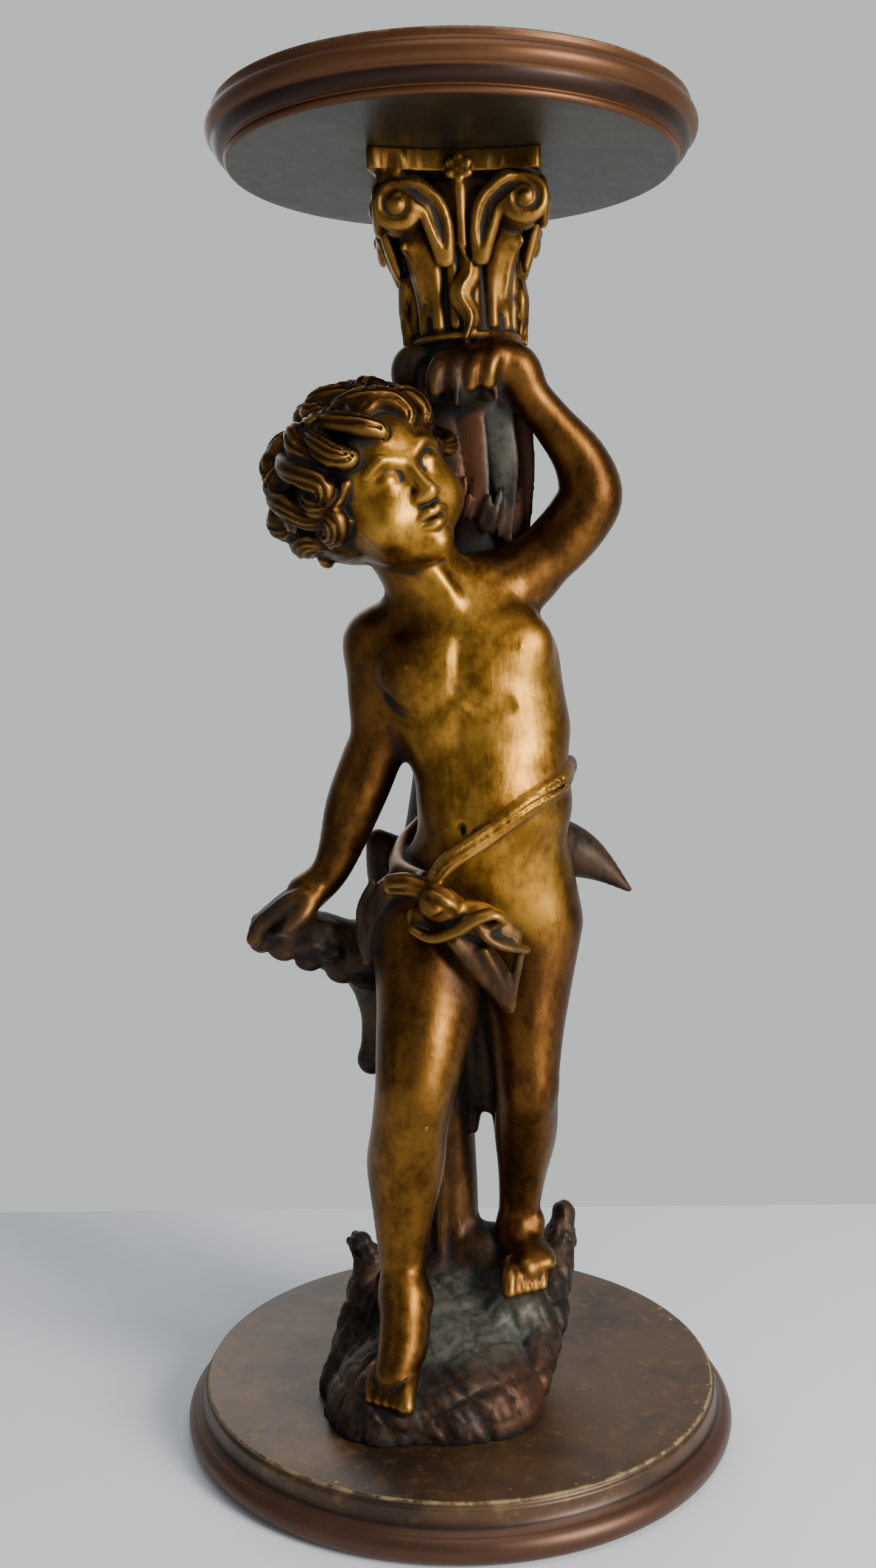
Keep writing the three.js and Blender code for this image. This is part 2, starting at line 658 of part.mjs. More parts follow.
function skin(clay) {
  const { field } = clay;
  const points = [];
  const faces = [];
  const known = new Map();
  const steps = [1, rowStep, layerStep];
  const cornerStep = [0, 1, 2, 3, 4, 5, 6, 7].map((bits) => (
    (bits & 1) * steps[0] + ((bits >> 1) & 1) * steps[1] + ((bits >> 2) & 1) * steps[2]
  ));
  const place = (cell, bits) => {
    const k = Math.floor(cell / layerStep);
    const j = Math.floor((cell - k * layerStep) / rowStep);
    const i = cell - k * layerStep - j * rowStep;
    return [
      clayLow[0] + (i + (bits & 1)) * clayCell,
      clayLow[1] + (j + ((bits >> 1) & 1)) * clayCell,
      clayLow[2] + (k + ((bits >> 2) & 1)) * clayCell,
    ];
  };
  const crossing = (cell, one, two) => {
    const [from, to] = one < two ? [one, two] : [two, one];
    const key = (cell + cornerStep[from]) * 8 + (to - from);
    let index = known.get(key);
    if (index === undefined) {
      const a = field[cell + cornerStep[from]];
      const b = field[cell + cornerStep[to]];
      const t = Math.min(0.96, Math.max(0.04, a / (a - b)));
      const start = place(cell, from);
      const end = place(cell, to);
      index = points.length / 3;
      points.push(...start.map((value, k) => value + (end[k] - value) * t));
      known.set(key, index);
    }
    return index;
  };
  const outward = (cell, inside, outside, a, b, c) => {
    const [ax, ay, az] = points.slice(3 * a, 3 * a + 3);
    const [bx, by, bz] = points.slice(3 * b, 3 * b + 3);
    const [cx, cy, cz] = points.slice(3 * c, 3 * c + 3);
    const nx = (by - ay) * (cz - az) - (bz - az) * (cy - ay);
    const ny = (bz - az) * (cx - ax) - (bx - ax) * (cz - az);
    const nz = (bx - ax) * (cy - ay) - (by - ay) * (cx - ax);
    const p = place(cell, inside);
    const q = place(cell, outside);
    const facing = nx * (q[0] - p[0]) + ny * (q[1] - p[1]) + nz * (q[2] - p[2]);
    faces.push(...(facing > 0 ? [a, b, c] : [a, c, b]));
  };
  for (let k = 0; k < clayCounts[2] - 1; k += 1) {
    for (let j = 0; j < clayCounts[1] - 1; j += 1) {
      for (let i = 0; i < clayCounts[0] - 1; i += 1) {
        const cell = i + j * rowStep + k * layerStep;
        let count = 0;
        for (const offset of cornerStep) {
          count += field[cell + offset] < 0 ? 1 : 0;
        }
        if (count > 0 && count < 8) {
          for (const corners of cellTetrahedra) {
            const inside = corners.filter((bits) => field[cell + cornerStep[bits]] < 0);
            const outside = corners.filter((bits) => !inside.includes(bits));
            if (inside.length === 1 || inside.length === 3) {
              const [lone] = inside.length === 1 ? inside : outside;
              const others = inside.length === 1 ? outside : inside;
              const [a, b, c] = others.map((bits) => crossing(cell, lone, bits));
              outward(cell, inside[0], outside[0], a, b, c);
            } else if (inside.length === 2) {
              const a = crossing(cell, inside[0], outside[0]);
              const b = crossing(cell, inside[0], outside[1]);
              const c = crossing(cell, inside[1], outside[1]);
              const d = crossing(cell, inside[1], outside[0]);
              outward(cell, inside[0], outside[0], a, b, c);
              outward(cell, inside[0], outside[0], a, c, d);
            }
          }
        }
      }
    }
  }
  return { points: Float64Array.from(points), faces: Int32Array.from(faces) };
}

// A heap of numbered entries, the cheapest first
class Heap {
  constructor(costs) {
    this.costs = costs;
    this.items = [];
  }

  push(item) {
    const { items, costs } = this;
    let k = items.push(item) - 1;
    while (k > 0) {
      const parent = (k - 1) >> 1;
      if (costs[items[parent]] <= costs[item]) break;
      items[k] = items[parent];
      k = parent;
    }
    items[k] = item;
  }

  pop() {
    const { items, costs } = this;
    const top = items[0];
    const last = items.pop();
    const size = items.length;
    if (size > 0) {
      let k = 0;
      for (let child = 1; child < size; child = 2 * k + 1) {
        if (child + 1 < size && costs[items[child + 1]] < costs[items[child]]) child += 1;
        if (costs[items[child]] >= costs[last]) break;
        items[k] = items[child];
        k = child;
      }
      items[k] = last;
    }
    return top;
  }
}

// Fewer faces with the same form: edges collapse where that moves the surface least.
// Each point carries the sum of its faces' squared plane distances as ten numbers.
function thinned({ points, faces }, wanted) {
  const count = points.length / 3;
  const sums = new Float64Array(count * 10);
  const around = Array.from({ length: count }, () => []);
  const stamps = new Int32Array(count);
  const alive = new Uint8Array(faces.length / 3).fill(1);
  const normal = new Float64Array(3);
  let left = faces.length / 3;

  const setNormal = (f) => {
    const a = 3 * faces[3 * f];
    const b = 3 * faces[3 * f + 1];
    const c = 3 * faces[3 * f + 2];
    const ux = points[b] - points[a];
    const uy = points[b + 1] - points[a + 1];
    const uz = points[b + 2] - points[a + 2];
    const vx = points[c] - points[a];
    const vy = points[c + 1] - points[a + 1];
    const vz = points[c + 2] - points[a + 2];
    normal[0] = uy * vz - uz * vy;
    normal[1] = uz * vx - ux * vz;
    normal[2] = ux * vy - uy * vx;
    return Math.sqrt(normal[0] ** 2 + normal[1] ** 2 + normal[2] ** 2);
  };
  for (let f = 0; f < left; f += 1) {
    const size = setNormal(f) || 1e-12;
    const a = 3 * faces[3 * f];
    const plane = [normal[0] / size, normal[1] / size, normal[2] / size, 0];
    plane[3] = -(plane[0] * points[a] + plane[1] * points[a + 1] + plane[2] * points[a + 2]);
    for (let corner = 0; corner < 3; corner += 1) {
      const vertex = faces[3 * f + corner];
      around[vertex].push(f);
      let slot = vertex * 10;
      for (let i = 0; i < 4; i += 1) {
        for (let j = i; j < 4; j += 1) {
          sums[slot] += plane[i] * plane[j] * size;
          slot += 1;
        }
      }
    }
  }

  const q = new Float64Array(10);
  const spot = new Float64Array(3);
  const price = (a, b) => {
    for (let k = 0; k < 10; k += 1) q[k] = sums[a * 10 + k] + sums[b * 10 + k];
    const mx = (points[3 * a] + points[3 * b]) / 2;
    const my = (points[3 * a + 1] + points[3 * b + 1]) / 2;
    const mz = (points[3 * a + 2] + points[3 * b + 2]) / 2;
    const length = 2 * Math.hypot(mx - points[3 * a], my - points[3 * a + 1], mz - points[3 * a + 2]);
    const pull = 1e-3 * (q[0] + q[4] + q[7]) + 1e-9;
    const xx = q[0] + pull;
    const yy = q[4] + pull;
    const zz = q[7] + pull;
    const rx = pull * mx - q[3];
    const ry = pull * my - q[6];
    const rz = pull * mz - q[8];
    const c0 = yy * zz - q[5] * q[5];
    const c1 = q[2] * q[5] - q[1] * zz;
    const c2 = q[1] * q[5] - yy * q[2];
    const c3 = q[1] * q[2] - xx * q[5];
    const whole = xx * c0 + q[1] * c1 + q[2] * c2;
    spot[0] = (rx * c0 + ry * c1 + rz * c2) / whole;
    spot[1] = (rx * c1 + ry * (xx * zz - q[2] * q[2]) + rz * c3) / whole;
    spot[2] = (rx * c2 + ry * c3 + rz * (xx * yy - q[1] * q[1])) / whole;
    if (!(Math.hypot(spot[0] - mx, spot[1] - my, spot[2] - mz) < 2 * length)) {
      spot[0] = mx;
      spot[1] = my;
      spot[2] = mz;
    }
    const [x, y, z] = spot;
    const error = q[0] * x * x + q[4] * y * y + q[7] * z * z + q[9]
      + 2 * (q[1] * x * y + q[2] * x * z + q[5] * y * z + q[3] * x + q[6] * y + q[8] * z);
    return Math.max(0, error) + 2e-4 * length * length * length;
  };

  const room = faces.length * 4;
  const costs = new Float64Array(room);
  const starts = new Int32Array(room);
  const ends = new Int32Array(room);
  const dates = new Int32Array(room);
  const heap = new Heap(costs);
  let used = 0;
  const offer = (a, b) => {
    if (used < room) {
      costs[used] = price(a, b);
      starts[used] = a;
      ends[used] = b;
      dates[used] = stamps[a] + stamps[b];
      heap.push(used);
      used += 1;
    }
  };
  const neighbours = (vertex) => {
    const found = [];
    for (const f of around[vertex]) {
      for (let k = 3 * f; k < 3 * f + 3; k += 1) {
        if (faces[k] !== vertex && !found.includes(faces[k])) found.push(faces[k]);
      }
    }
    return found;
  };
  const turnsOver = (vertex, other) => around[vertex].some((f) => {
    if (faces[3 * f] === other || faces[3 * f + 1] === other || faces[3 * f + 2] === other) return false;
    const before = setNormal(f);
    const [nx, ny, nz] = normal;
    const kept = points.slice(3 * vertex, 3 * vertex + 3);
    points.set(spot, 3 * vertex);
    const after = setNormal(f);
    points.set(kept, 3 * vertex);
    const dot = nx * normal[0] + ny * normal[1] + nz * normal[2];
    return dot < 0.25 * before * after || after < 1e-3;
  });

  for (let f = 0; f < left; f += 1) {
    for (let k = 0; k < 3; k += 1) {
      const a = faces[3 * f + k];
      const b = faces[3 * f + (k + 1) % 3];
      if (a < b) offer(a, b);
    }
  }
  while (left > wanted && heap.items.length > 0) {
    const item = heap.pop();
    const a = starts[item];
    const b = ends[item];
    if (stamps[a] >= 0 && stamps[b] >= 0 && dates[item] === stamps[a] + stamps[b]) {
      const nearA = neighbours(a);
      const nearB = neighbours(b);
      const shared = nearA.filter((vertex) => nearB.includes(vertex)).length;
      price(a, b);
      if (shared === 2 && !turnsOver(a, b) && !turnsOver(b, a)) {
        points.set(spot, 3 * a);
        for (let k = 0; k < 10; k += 1) sums[a * 10 + k] += sums[b * 10 + k];
        for (const f of around[b]) {
          const corners = faces.subarray(3 * f, 3 * f + 3);
          if (corners.includes(a)) {
            alive[f] = 0;
            left -= 1;
          } else {
            corners[corners.indexOf(b)] = a;
            around[a].push(f);
          }
        }
        for (const vertex of new Set([a, ...nearA, ...nearB])) {
          around[vertex] = around[vertex].filter((f) => alive[f]);
        }
        stamps[b] = -1;
        stamps[a] += 1;
        for (const vertex of neighbours(a)) offer(a, vertex);
      }
    }
  }
  return { points, faces: faces.filter((_, k) => alive[Math.floor(k / 3)]) };
}

// Closed bodies that can be joined and cut, from a mesh's points and faces or from a geometry
function solidOf(points, faces) {
  const names = new Map();
  const kept = [];
  const renamed = Uint32Array.from(faces, (vertex) => {
    if (!names.has(vertex)) {
      names.set(vertex, kept.length / 3);
      kept.push(points[3 * vertex], points[3 * vertex + 1], points[3 * vertex + 2]);
    }
    return names.get(vertex);
  });
  return new wasm.Manifold(new wasm.Mesh({
    numProp: 3,
    vertProperties: Float32Array.from(kept),
    triVerts: renamed,
  }));
}

function solidFrom(geometry) {
  const bare = geometry.clone();
  bare.deleteAttribute('normal');
  bare.deleteAttribute('uv');
  const merged = BufferGeometryUtils.mergeVertices(bare, 1e-4);
  return solidOf(merged.attributes.position.array, merged.index.array);
}

function geometryFrom(solid) {
  const { vertProperties, triVerts } = solid.getMesh();
  const geometry = new THREE.BufferGeometry();
  geometry.setAttribute('position', new THREE.BufferAttribute(Float32Array.from(vertProperties), 3));
  geometry.setIndex(new THREE.BufferAttribute(Uint32Array.from(triVerts), 1));
  geometry.computeVertexNormals();
  return geometry;
}

// The capital's slab: square with four hollow sides and blunt corners, its top flat for the round top
function abacus() {
  const outline = new THREE.Shape();
  const corner = abacusHalf;
  const blunt = abacusCornerCut;
  const hollow = corner - 2 * abacusHollow;
  outline.moveTo(corner, -corner + blunt);
  outline.quadraticCurveTo(hollow, 0, corner, corner - blunt);
  outline.lineTo(corner - blunt, corner);
  outline.quadraticCurveTo(0, hollow, -corner + blunt, corner);
  outline.lineTo(-corner, corner - blunt);
  outline.quadraticCurveTo(-hollow, 0, -corner, -corner + blunt);
  outline.lineTo(-corner + blunt, -corner);
  outline.quadraticCurveTo(0, -hollow, corner - blunt, -corner);
  outline.closePath();
  const slab = new THREE.ExtrudeGeometry(outline, {
    depth: abacusThickness,
    curveSegments: 8,
    bevelEnabled: false,
  });
  return slab.translate(abacusShift, 0, carvingHeight - abacusThickness);
}

function carvingGeometry() {
  const body = new Clay();
  addTorso(body);
  addNeck(body);
  addRightLeg(body);
  addLeftLeg(body);
  addRightArm(body);
  addLeftArm(body);
  addHead(body);
  addCloth(body);
  addHair(body);
  const tree = new Clay();
  addMound(tree);
  addTree(tree);
  addCollar(tree);
  addCapital(tree);
  tree.join(body, 3);
  const { points, faces } = thinned(skin(tree.close()), carvingFaceCount);
  const clay = solidOf(points.map((value) => value * share), faces);
  const reach = 2 * (clayHigh[0] - clayLow[0]) * share;
  const under = new THREE.BoxGeometry(reach, reach, reach).translate(0, 0, -reach / 2);
  const over = new THREE.BoxGeometry(reach, reach, reach).translate(0, 0, carvingHeight + reach / 2);
  const whole = clay.add(solidFrom(abacus())).subtract(solidFrom(under)).subtract(solidFrom(over));
  return geometryFrom(whole);
}

// Quarter and half rounds of a turned profile, as [radius, height] points
function roll(middleRadius, middleHeight, radius, fromAngle, toAngle, steps) {
  return Array.from({ length: steps + 1 }, (_, k) => {
    const angle = (fromAngle + (toAngle - fromAngle) * k / steps) * degree;
    return [middleRadius + radius * Math.cos(angle), middleHeight + radius * Math.sin(angle)];
  });
}

// A hollow quarter round that sweeps from a low outer point to a high inner one
function cove([lowRadius, lowHeight], [highRadius, highHeight], steps) {
  return Array.from({ length: steps + 1 }, (_, k) => {
    const angle = k / steps * 90 * degree;
    return [
      lowRadius - (lowRadius - highRadius) * Math.sin(angle),
      highHeight - (highHeight - lowHeight) * Math.cos(angle),
    ];
  });
}

function turned(profile) {
  const outline = profile.map(([radius, height]) => new THREE.Vector2(radius, height));
  return new THREE.LatheGeometry(outline, turnedSides).rotateX(Math.PI / 2);
}

function baseGeometry() {
  const outer = baseFaceRadius + baseRollReach;
  const rollMiddle = outer - baseRollRadius;
  const stepHeight = baseThickness - edgeStep;
  const rollTop = stepHeight - baseCoveDrop + 2;
  return turned([
    [0, 0],
    [rollMiddle, 0],
    ...roll(rollMiddle, baseRollRadius, baseRollRadius, -60, 75, 5),
    ...cove([rollMiddle + 1, rollTop], [baseFaceRadius + 1.5, stepHeight], 3).slice(1),
    [baseFaceRadius, stepHeight],
    ...roll(baseFaceRadius - edgeRounding, baseThickness - edgeRounding, edgeRounding, 0, 90, 2),
    [0, baseThickness],
  ]);
}

function topGeometry() {
  const outer = topFaceRadius + topRollReach;
  const rollMiddle = outer - topRollRadius;
  const rollHeight = topThickness - edgeStep - topRollRadius - beadRadius;
  const rollFoot = rollHeight - topRollRadius;
  return turned([
    [0, 0],
    [topUndersideRadius - beadRadius, 0],
    ...roll(topUndersideRadius - beadRadius, beadRadius, beadRadius, -60, 60, 2),
    ...cove([topUndersideRadius - 0.5, 2 * beadRadius], [rollMiddle + 2, rollFoot], 3).slice(1),
    ...roll(rollMiddle, rollHeight, topRollRadius, -60, 75, 4),
    [topFaceRadius - 0.5, topThickness - edgeStep],
    ...roll(topFaceRadius - edgeRounding, topThickness - edgeRounding, edgeRounding, 0, 90, 2),
    [0, topThickness],
  ]).translate(0, 0, totalHeight - topThickness);
}

function piece(name, geometry, colour, roughness, metalness) {
  const material = new THREE.MeshStandardMaterial({ color: colour, roughness, metalness });
  const mesh = new THREE.Mesh(geometry, material);
  mesh.name = name;
  return mesh;
}

const stand = new THREE.Group();
stand.add(piece('base', baseGeometry(), '#4b382a', 0.5, 0.5));
const carving = piece('carving', carvingGeometry(), '#8a6428', 0.42, 0.7);
carving.position.z = baseThickness;
stand.add(carving);
stand.add(piece('top', topGeometry(), '#5c3d22', 0.45, 0.55));

export default stand;
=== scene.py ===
# Looks of the putto stand: the gilded carving, the turned base and top, camera, light and floor.
# The carving is worked in drawn units, DRAWN_HEIGHT of them high, with the figure's front towards -Y.
import math

import bpy
import numpy as np
from mathutils import Matrix, Vector


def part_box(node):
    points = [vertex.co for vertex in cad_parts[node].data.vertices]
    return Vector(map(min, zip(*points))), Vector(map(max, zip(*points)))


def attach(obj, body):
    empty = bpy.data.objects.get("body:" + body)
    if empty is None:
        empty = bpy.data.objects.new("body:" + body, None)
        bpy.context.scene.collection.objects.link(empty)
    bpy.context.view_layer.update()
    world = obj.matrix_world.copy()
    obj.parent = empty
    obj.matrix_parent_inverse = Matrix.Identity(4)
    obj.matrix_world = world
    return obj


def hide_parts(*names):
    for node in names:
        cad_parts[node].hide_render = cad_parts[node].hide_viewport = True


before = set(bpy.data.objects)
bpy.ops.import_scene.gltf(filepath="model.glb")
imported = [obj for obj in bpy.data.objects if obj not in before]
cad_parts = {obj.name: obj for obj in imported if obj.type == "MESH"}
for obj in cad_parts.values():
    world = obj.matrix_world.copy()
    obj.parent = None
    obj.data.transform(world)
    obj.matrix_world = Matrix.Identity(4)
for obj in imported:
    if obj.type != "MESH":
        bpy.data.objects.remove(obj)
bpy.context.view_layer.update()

DRAWN_HEIGHT = 784
CELL = 1.25
FAR = 60.0
CARVING_FACES = 190000
CLAY_LOW = (-148, -128, -8)
CLAY_HIGH = (132, 92, DRAWN_HEIGHT + 6)

base_low, base_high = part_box("base")
top_low, top_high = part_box("top")
carving_low, carving_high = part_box("carving")
UNIT = (carving_high.z - carving_low.z) / DRAWN_HEIGHT


# Shapes: eggs and limbs, each with a box and a distance to its surface

def rotation(about_x, about_y, about_z):
    """Turns about Z, then Y, then X, in degrees, as a 3 by 3 matrix."""
    ax, ay, az = (math.radians(angle) for angle in (about_x, about_y, about_z))
    turn_x = np.array([[1, 0, 0], [0, math.cos(ax), -math.sin(ax)], [0, math.sin(ax), math.cos(ax)]])
    turn_y = np.array([[math.cos(ay), 0, math.sin(ay)], [0, 1, 0], [-math.sin(ay), 0, math.cos(ay)]])
    turn_z = np.array([[math.cos(az), -math.sin(az), 0], [math.sin(az), math.cos(az), 0], [0, 0, 1]])
    return turn_x @ turn_y @ turn_z


class Egg:
    """An ellipsoid with its own half-widths, turned in degrees."""

    def __init__(self, centre, halves, turn=(0, 0, 0)):
        self.centre = np.array(centre, float)
        self.halves = np.array(halves, float)
        self.axes = rotation(*turn)

    def placed(self, turn, shift):
        copy = Egg(turn @ self.centre + shift, self.halves)
        copy.axes = turn @ self.axes
        return copy

    def box(self):
        reach = np.sqrt(((self.axes * self.halves) ** 2).sum(1))
        return self.centre - reach, self.centre + reach

    def distance(self, x, y, z, margin):
        dx, dy, dz = x - self.centre[0], y - self.centre[1], z - self.centre[2]
        level = 0.0
        slope = 0.0
        for k in range(3):
            a = self.axes[:, k] / self.halves[k]
            part = (a[0] * dx + a[1] * dy + a[2] * dz) ** 2
            level = level + part
            slope = slope + part / self.halves[k] ** 2
        level = np.sqrt(level)
        slope = np.sqrt(slope)
        inside = -self.halves.min()
        return np.where(slope > 1e-6, level * (level - 1) / np.maximum(slope, 1e-6), inside)


def smooth_path(knots, steps):
    """Points of a smooth curve through knots of x, y, z and radius."""
    knots = np.array(knots, float)
    path = []
    for span in range(len(knots) - 1):
        before, start, end = knots[max(span - 1, 0)], knots[span], knots[span + 1]
        after = knots[min(span + 2, len(knots) - 1)]
        for step in range(steps):
            t = step / steps
            bend = (2 * before - 5 * start + 4 * end - after) * t * t
            twist = (3 * start - before - 3 * end + after) * t ** 3
            path.append(0.5 * (2 * start + (end - before) * t + bend + twist))
    path.append(knots[-1])
    return np.array(path)


class Limb:
    """A round bar of changing thickness along a smooth path. With a flat direction it is squeezed
    that way, as a leaf or a fold of cloth is."""

    def __init__(self, knots, steps=5, flat=None, squeeze=1.0):
        self.path = smooth_path(knots, steps)
        self.side = None if flat is None else np.array(flat, float) / np.linalg.norm(flat)
        self.squeeze = squeeze

    def placed(self, turn, shift):
        copy = Limb([self.path[0], self.path[-1]], 1)
        copy.path = np.column_stack([self.path[:, :3] @ turn.T + shift, self.path[:, 3]])
        copy.side = None if self.side is None else turn @ self.side
        copy.squeeze = self.squeeze
        return copy

    def box(self):
        radius = self.path[:, 3:]
        return (self.path[:, :3] - radius).min(0), (self.path[:, :3] + radius).max(0)

    def distance(self, x, y, z, margin):
        best = np.full(np.broadcast(x, y, z).shape, FAR, np.float32)
        axes = (x.ravel(), y.ravel(), z.ravel())
        for a, b in zip(self.path[:-1], self.path[1:]):
            reach = max(a[3], b[3]) + margin
            spans = []
            for k, axis in enumerate(axes):
                first, last = np.searchsorted(axis, (min(a[k], b[k]) - reach, max(a[k], b[k]) + reach))
                spans.append(slice(first, last))
            ax, ay, az = np.ix_(*(axis[span] for axis, span in zip(axes, spans)))
            if ax.size and ay.size and az.size:
                here = tuple(spans)
                best[here] = np.minimum(best[here], self.piece(a, b, ax, ay, az))
        return best

    def piece(self, a, b, x, y, z):
        line = b[:3] - a[:3]
        px, py, pz = x - a[0], y - a[1], z - a[2]
        along = (px * line[0] + py * line[1] + pz * line[2]) / (line @ line + 1e-9)
        t = np.clip(along, 0, 1).astype(np.float32)
        dx, dy, dz = px - line[0] * t, py - line[1] * t, pz - line[2] * t
        scale = 1.0
        if self.side is not None:
            s = self.side
            push = (dx * s[0] + dy * s[1] + dz * s[2]) * (1 / self.squeeze - 1)
            dx, dy, dz = dx + s[0] * push, dy + s[1] * push, dz + s[2] * push
            scale = 0.5 * (1 + self.squeeze)
        gap = np.sqrt(dx * dx + dy * dy + dz * dz)
        return (gap - a[3] - (b[3] - a[3]) * t) * scale


# Clay: a grid of distances to the surface, to which shapes are added, cut and blended

def least(one, other, blend):
    """The smaller of two distances, melted together where they are nearly equal."""
    both = np.minimum(one, other)
    if blend > 0:
        overlap = np.maximum(blend - np.abs(one - other), 0)
        both = both - overlap * overlap * (0.25 / blend)
    return both


class Clay:
    """A box of the grid that holds, at each node, the distance to the nearest surface."""

    def __init__(self, low, high):
        self.first = np.floor(np.array(low) / CELL).astype(int)
        self.last = np.ceil(np.array(high) / CELL).astype(int)
        self.field = np.full(self.last - self.first + 1, FAR, np.float32)

    def window(self, low, high, margin):
        """The part of the grid round a box, and the places of its nodes along x, y and z."""
        first = np.maximum(np.floor((low - margin) / CELL).astype(int), self.first)
        last = np.minimum(np.ceil((high + margin) / CELL).astype(int), self.last)
        last = np.maximum(last, first)
        where = tuple(slice(a - o, b - o + 1) for a, b, o in zip(first, last, self.first))
        axes = [np.arange(a, b + 1, dtype=np.float32) * np.float32(CELL) for a, b in zip(first, last)]
        return where, np.ix_(*axes)

    def add(self, shape, blend=0.0):
        low, high = shape.box()
        margin = blend + 2 * CELL
        where, (x, y, z) = self.window(low, high, margin)
        self.field[where] = least(self.field[where], shape.distance(x, y, z, margin), blend)

    def cut(self, shape, blend):
        low, high = shape.box()
        margin = blend + 2 * CELL
        where, (x, y, z) = self.window(low, high, margin)
        self.field[where] = -least(-self.field[where], shape.distance(x, y, z, margin), blend)

    def join(self, other, blend):
        first = other.first - self.first
        where = tuple(slice(a, a + n) for a, n in zip(first, other.field.shape))
        self.field[where] = least(self.field[where], other.field, blend)

    def sample(self, points):
        return sampled(self.field, self.first * CELL, CELL, points)


def sampled(grid, low, cell, points):
    """Values of a grid at points, smoothly between its nodes."""
    spot = np.clip((points - low) / cell, 0, np.array(grid.shape) - 1.001)
    whole = spot.astype(int)
    part = spot - whole
    total = np.zeros(len(points))
    for corner in range(8):
        bits = np.array([corner & 1, (corner >> 1) & 1, corner >> 2])
        weight = np.where(bits, part, 1 - part).prod(1)
        i, j, k = (whole + bits).T
        total += weight * grid[i, j, k]
    return total


def ring(count, start=0.0):
    """Cosine and sine of evenly spaced turns."""
    for k in range(count):
        turn = math.radians(start + 360 * k / count)
        yield math.cos(turn), math.sin(turn)


def mirrored(side, knots):
    """The knots as they are for side 1, and across the middle for side -1."""
    return [[side * x, *rest] for x, *rest in knots]


def front(clay, x, z):
    """How far forward the clay reaches at a place seen from the front."""
    rows = np.arange(-124.0, 80.0, 0.5)
    values = clay.sample(np.stack([np.full_like(rows, x), rows, np.full_like(rows, z)], 1))
    return float(rows[np.argmax(values < 0)])


def crease(clay, places, depth, radius, blend):
    """A soft groove along places seen from the front, as deep as depth in its middle."""
    knots = []
    for k, (x, z) in enumerate(places):
        fade = math.sin(math.pi * (k + 0.5) / len(places))
        knots.append([x, front(clay, x, z) - radius + depth * fade, z, radius])
    clay.cut(Limb(knots), blend)


# The child's body, standing at ease with its weight on its left leg

HIP_RIGHT = [-22, -22, 302, 33]
HIP_LEFT = [50, -8, 306, 33]
SHOULDER_RIGHT = [-47, -10, 488, 22]
SHOULDER_LEFT = [47, -5, 532, 19]


def add_torso(clay):
    clay.add(Egg([8, -14, 468], [60, 41, 52], [0, -16, 0]), 8)
    clay.add(Limb([SHOULDER_RIGHT, [0, -10, 508, 29], SHOULDER_LEFT]), 16)
    clay.add(Egg([20, -15, 432], [54, 39, 48]), 16)
    clay.add(Egg([25, -18, 386], [50, 41, 48]), 16)
    clay.add(Egg([18, -34, 384], [36, 28, 40]), 14)
    clay.add(Egg([20, -8, 336], [57, 43, 42]), 18)
    clay.add(Egg([-6, 18, 312], [31, 30, 34]), 12)
    clay.add(Egg([44, 20, 318], [31, 30, 34]), 12)
    clay.add(Egg([-23, -36, 474], [26, 17, 21], [0, -20, 0]), 9)
    clay.add(Egg([34, -34, 485], [27, 16, 23], [0, -20, 0]), 10)
    clay.cut(Limb([[4, -62, 492, 2.5], [10, -62, 450, 3], [17, -68, 410, 2]]), 10)
    add_torso_creases(clay)


def add_torso_creases(clay):
    crease(clay, [[3, 490], [2, 478], [2, 466], [4, 457], [10, 451], [20, 448], [32, 450]], 1.4, 3.8, 6)
    crease(clay, [[0, 460], [-6, 452], [-14, 445], [-26, 441], [-38, 444], [-44, 452]], 1.1, 3.8, 6)
    crease(clay, [[0, 440], [1, 425], [3, 410], [3, 396], [3, 386]], 1.0, 5, 8)
    crease(clay, [[3, 376], [3, 373], [3, 370]], 3.0, 2.2, 3)
    for x, z in ([-30, 474], [40, 486]):
        clay.add(Egg([x, front(clay, x, z) + 0.6, z], [2.2, 1.6, 2.2]), 2)


def add_neck(clay):
    clay.add(Limb([[-8, -12, 500, 28], [-20, -20, 532, 26], [-32, -28, 556, 27]]), 10)
    clay.add(Limb([[-18, 2, 520, 18], [18, 2, 524, 20], [44, 0, 530, 18]]), 12)
    clay.add(Limb([[2, -34, 504, 4], [-6, -42, 522, 5], [-22, -46, 542, 5]]), 8)


def add_toes(clay, heel_x, step_x, rows, sizes, blend):
    """Toes side by side. A row is a shift along x, a place in y, how far y slants, a height and a share."""
    for toe, size in enumerate(sizes):
        x = heel_x + toe * step_x
        knots = [[x + dx, y + toe * slant, z, size * share] for dx, y, slant, z, share in rows]
        clay.add(Limb(knots), blend)


def add_right_leg(clay):
    clay.add(Limb([
        HIP_RIGHT,
        [-19, -42, 266, 33],
        [-23, -60, 238, 29],
        [-27, -67, 214, 25.5],
        [-31, -63, 188, 24],
        [-34, -54, 158, 24.5],
        [-36, -53, 127, 19.5],
        [-37, -54, 92, 14.5],
        [-36, -60, 74, 15],
    ]), 14)
    clay.add(Egg([-27, -76, 214], [18, 16, 19]), 8)
    clay.add(Egg([-35, -45, 160], [21, 20, 30]), 8)
    clay.add(Limb([[-35, -62, 76, 15], [-36, -78, 52, 16], [-42, -91, 36, 12]]), 8)
    clay.add(Egg([-42, -42, 62], [12, 13, 14]), 8)
    clay.add(Egg([-24, -62, 70], [6, 8, 8]), 6)
    rows = [[2, -90, 2.4, 36, 1], [0, -102, 2.6, 31, 1], [-0.5, -109, 2.6, 25, 0.95]]
    add_toes(clay, -34, -5.4, rows, [6.0, 4.6, 4.4, 4.1, 3.8], 1.0)


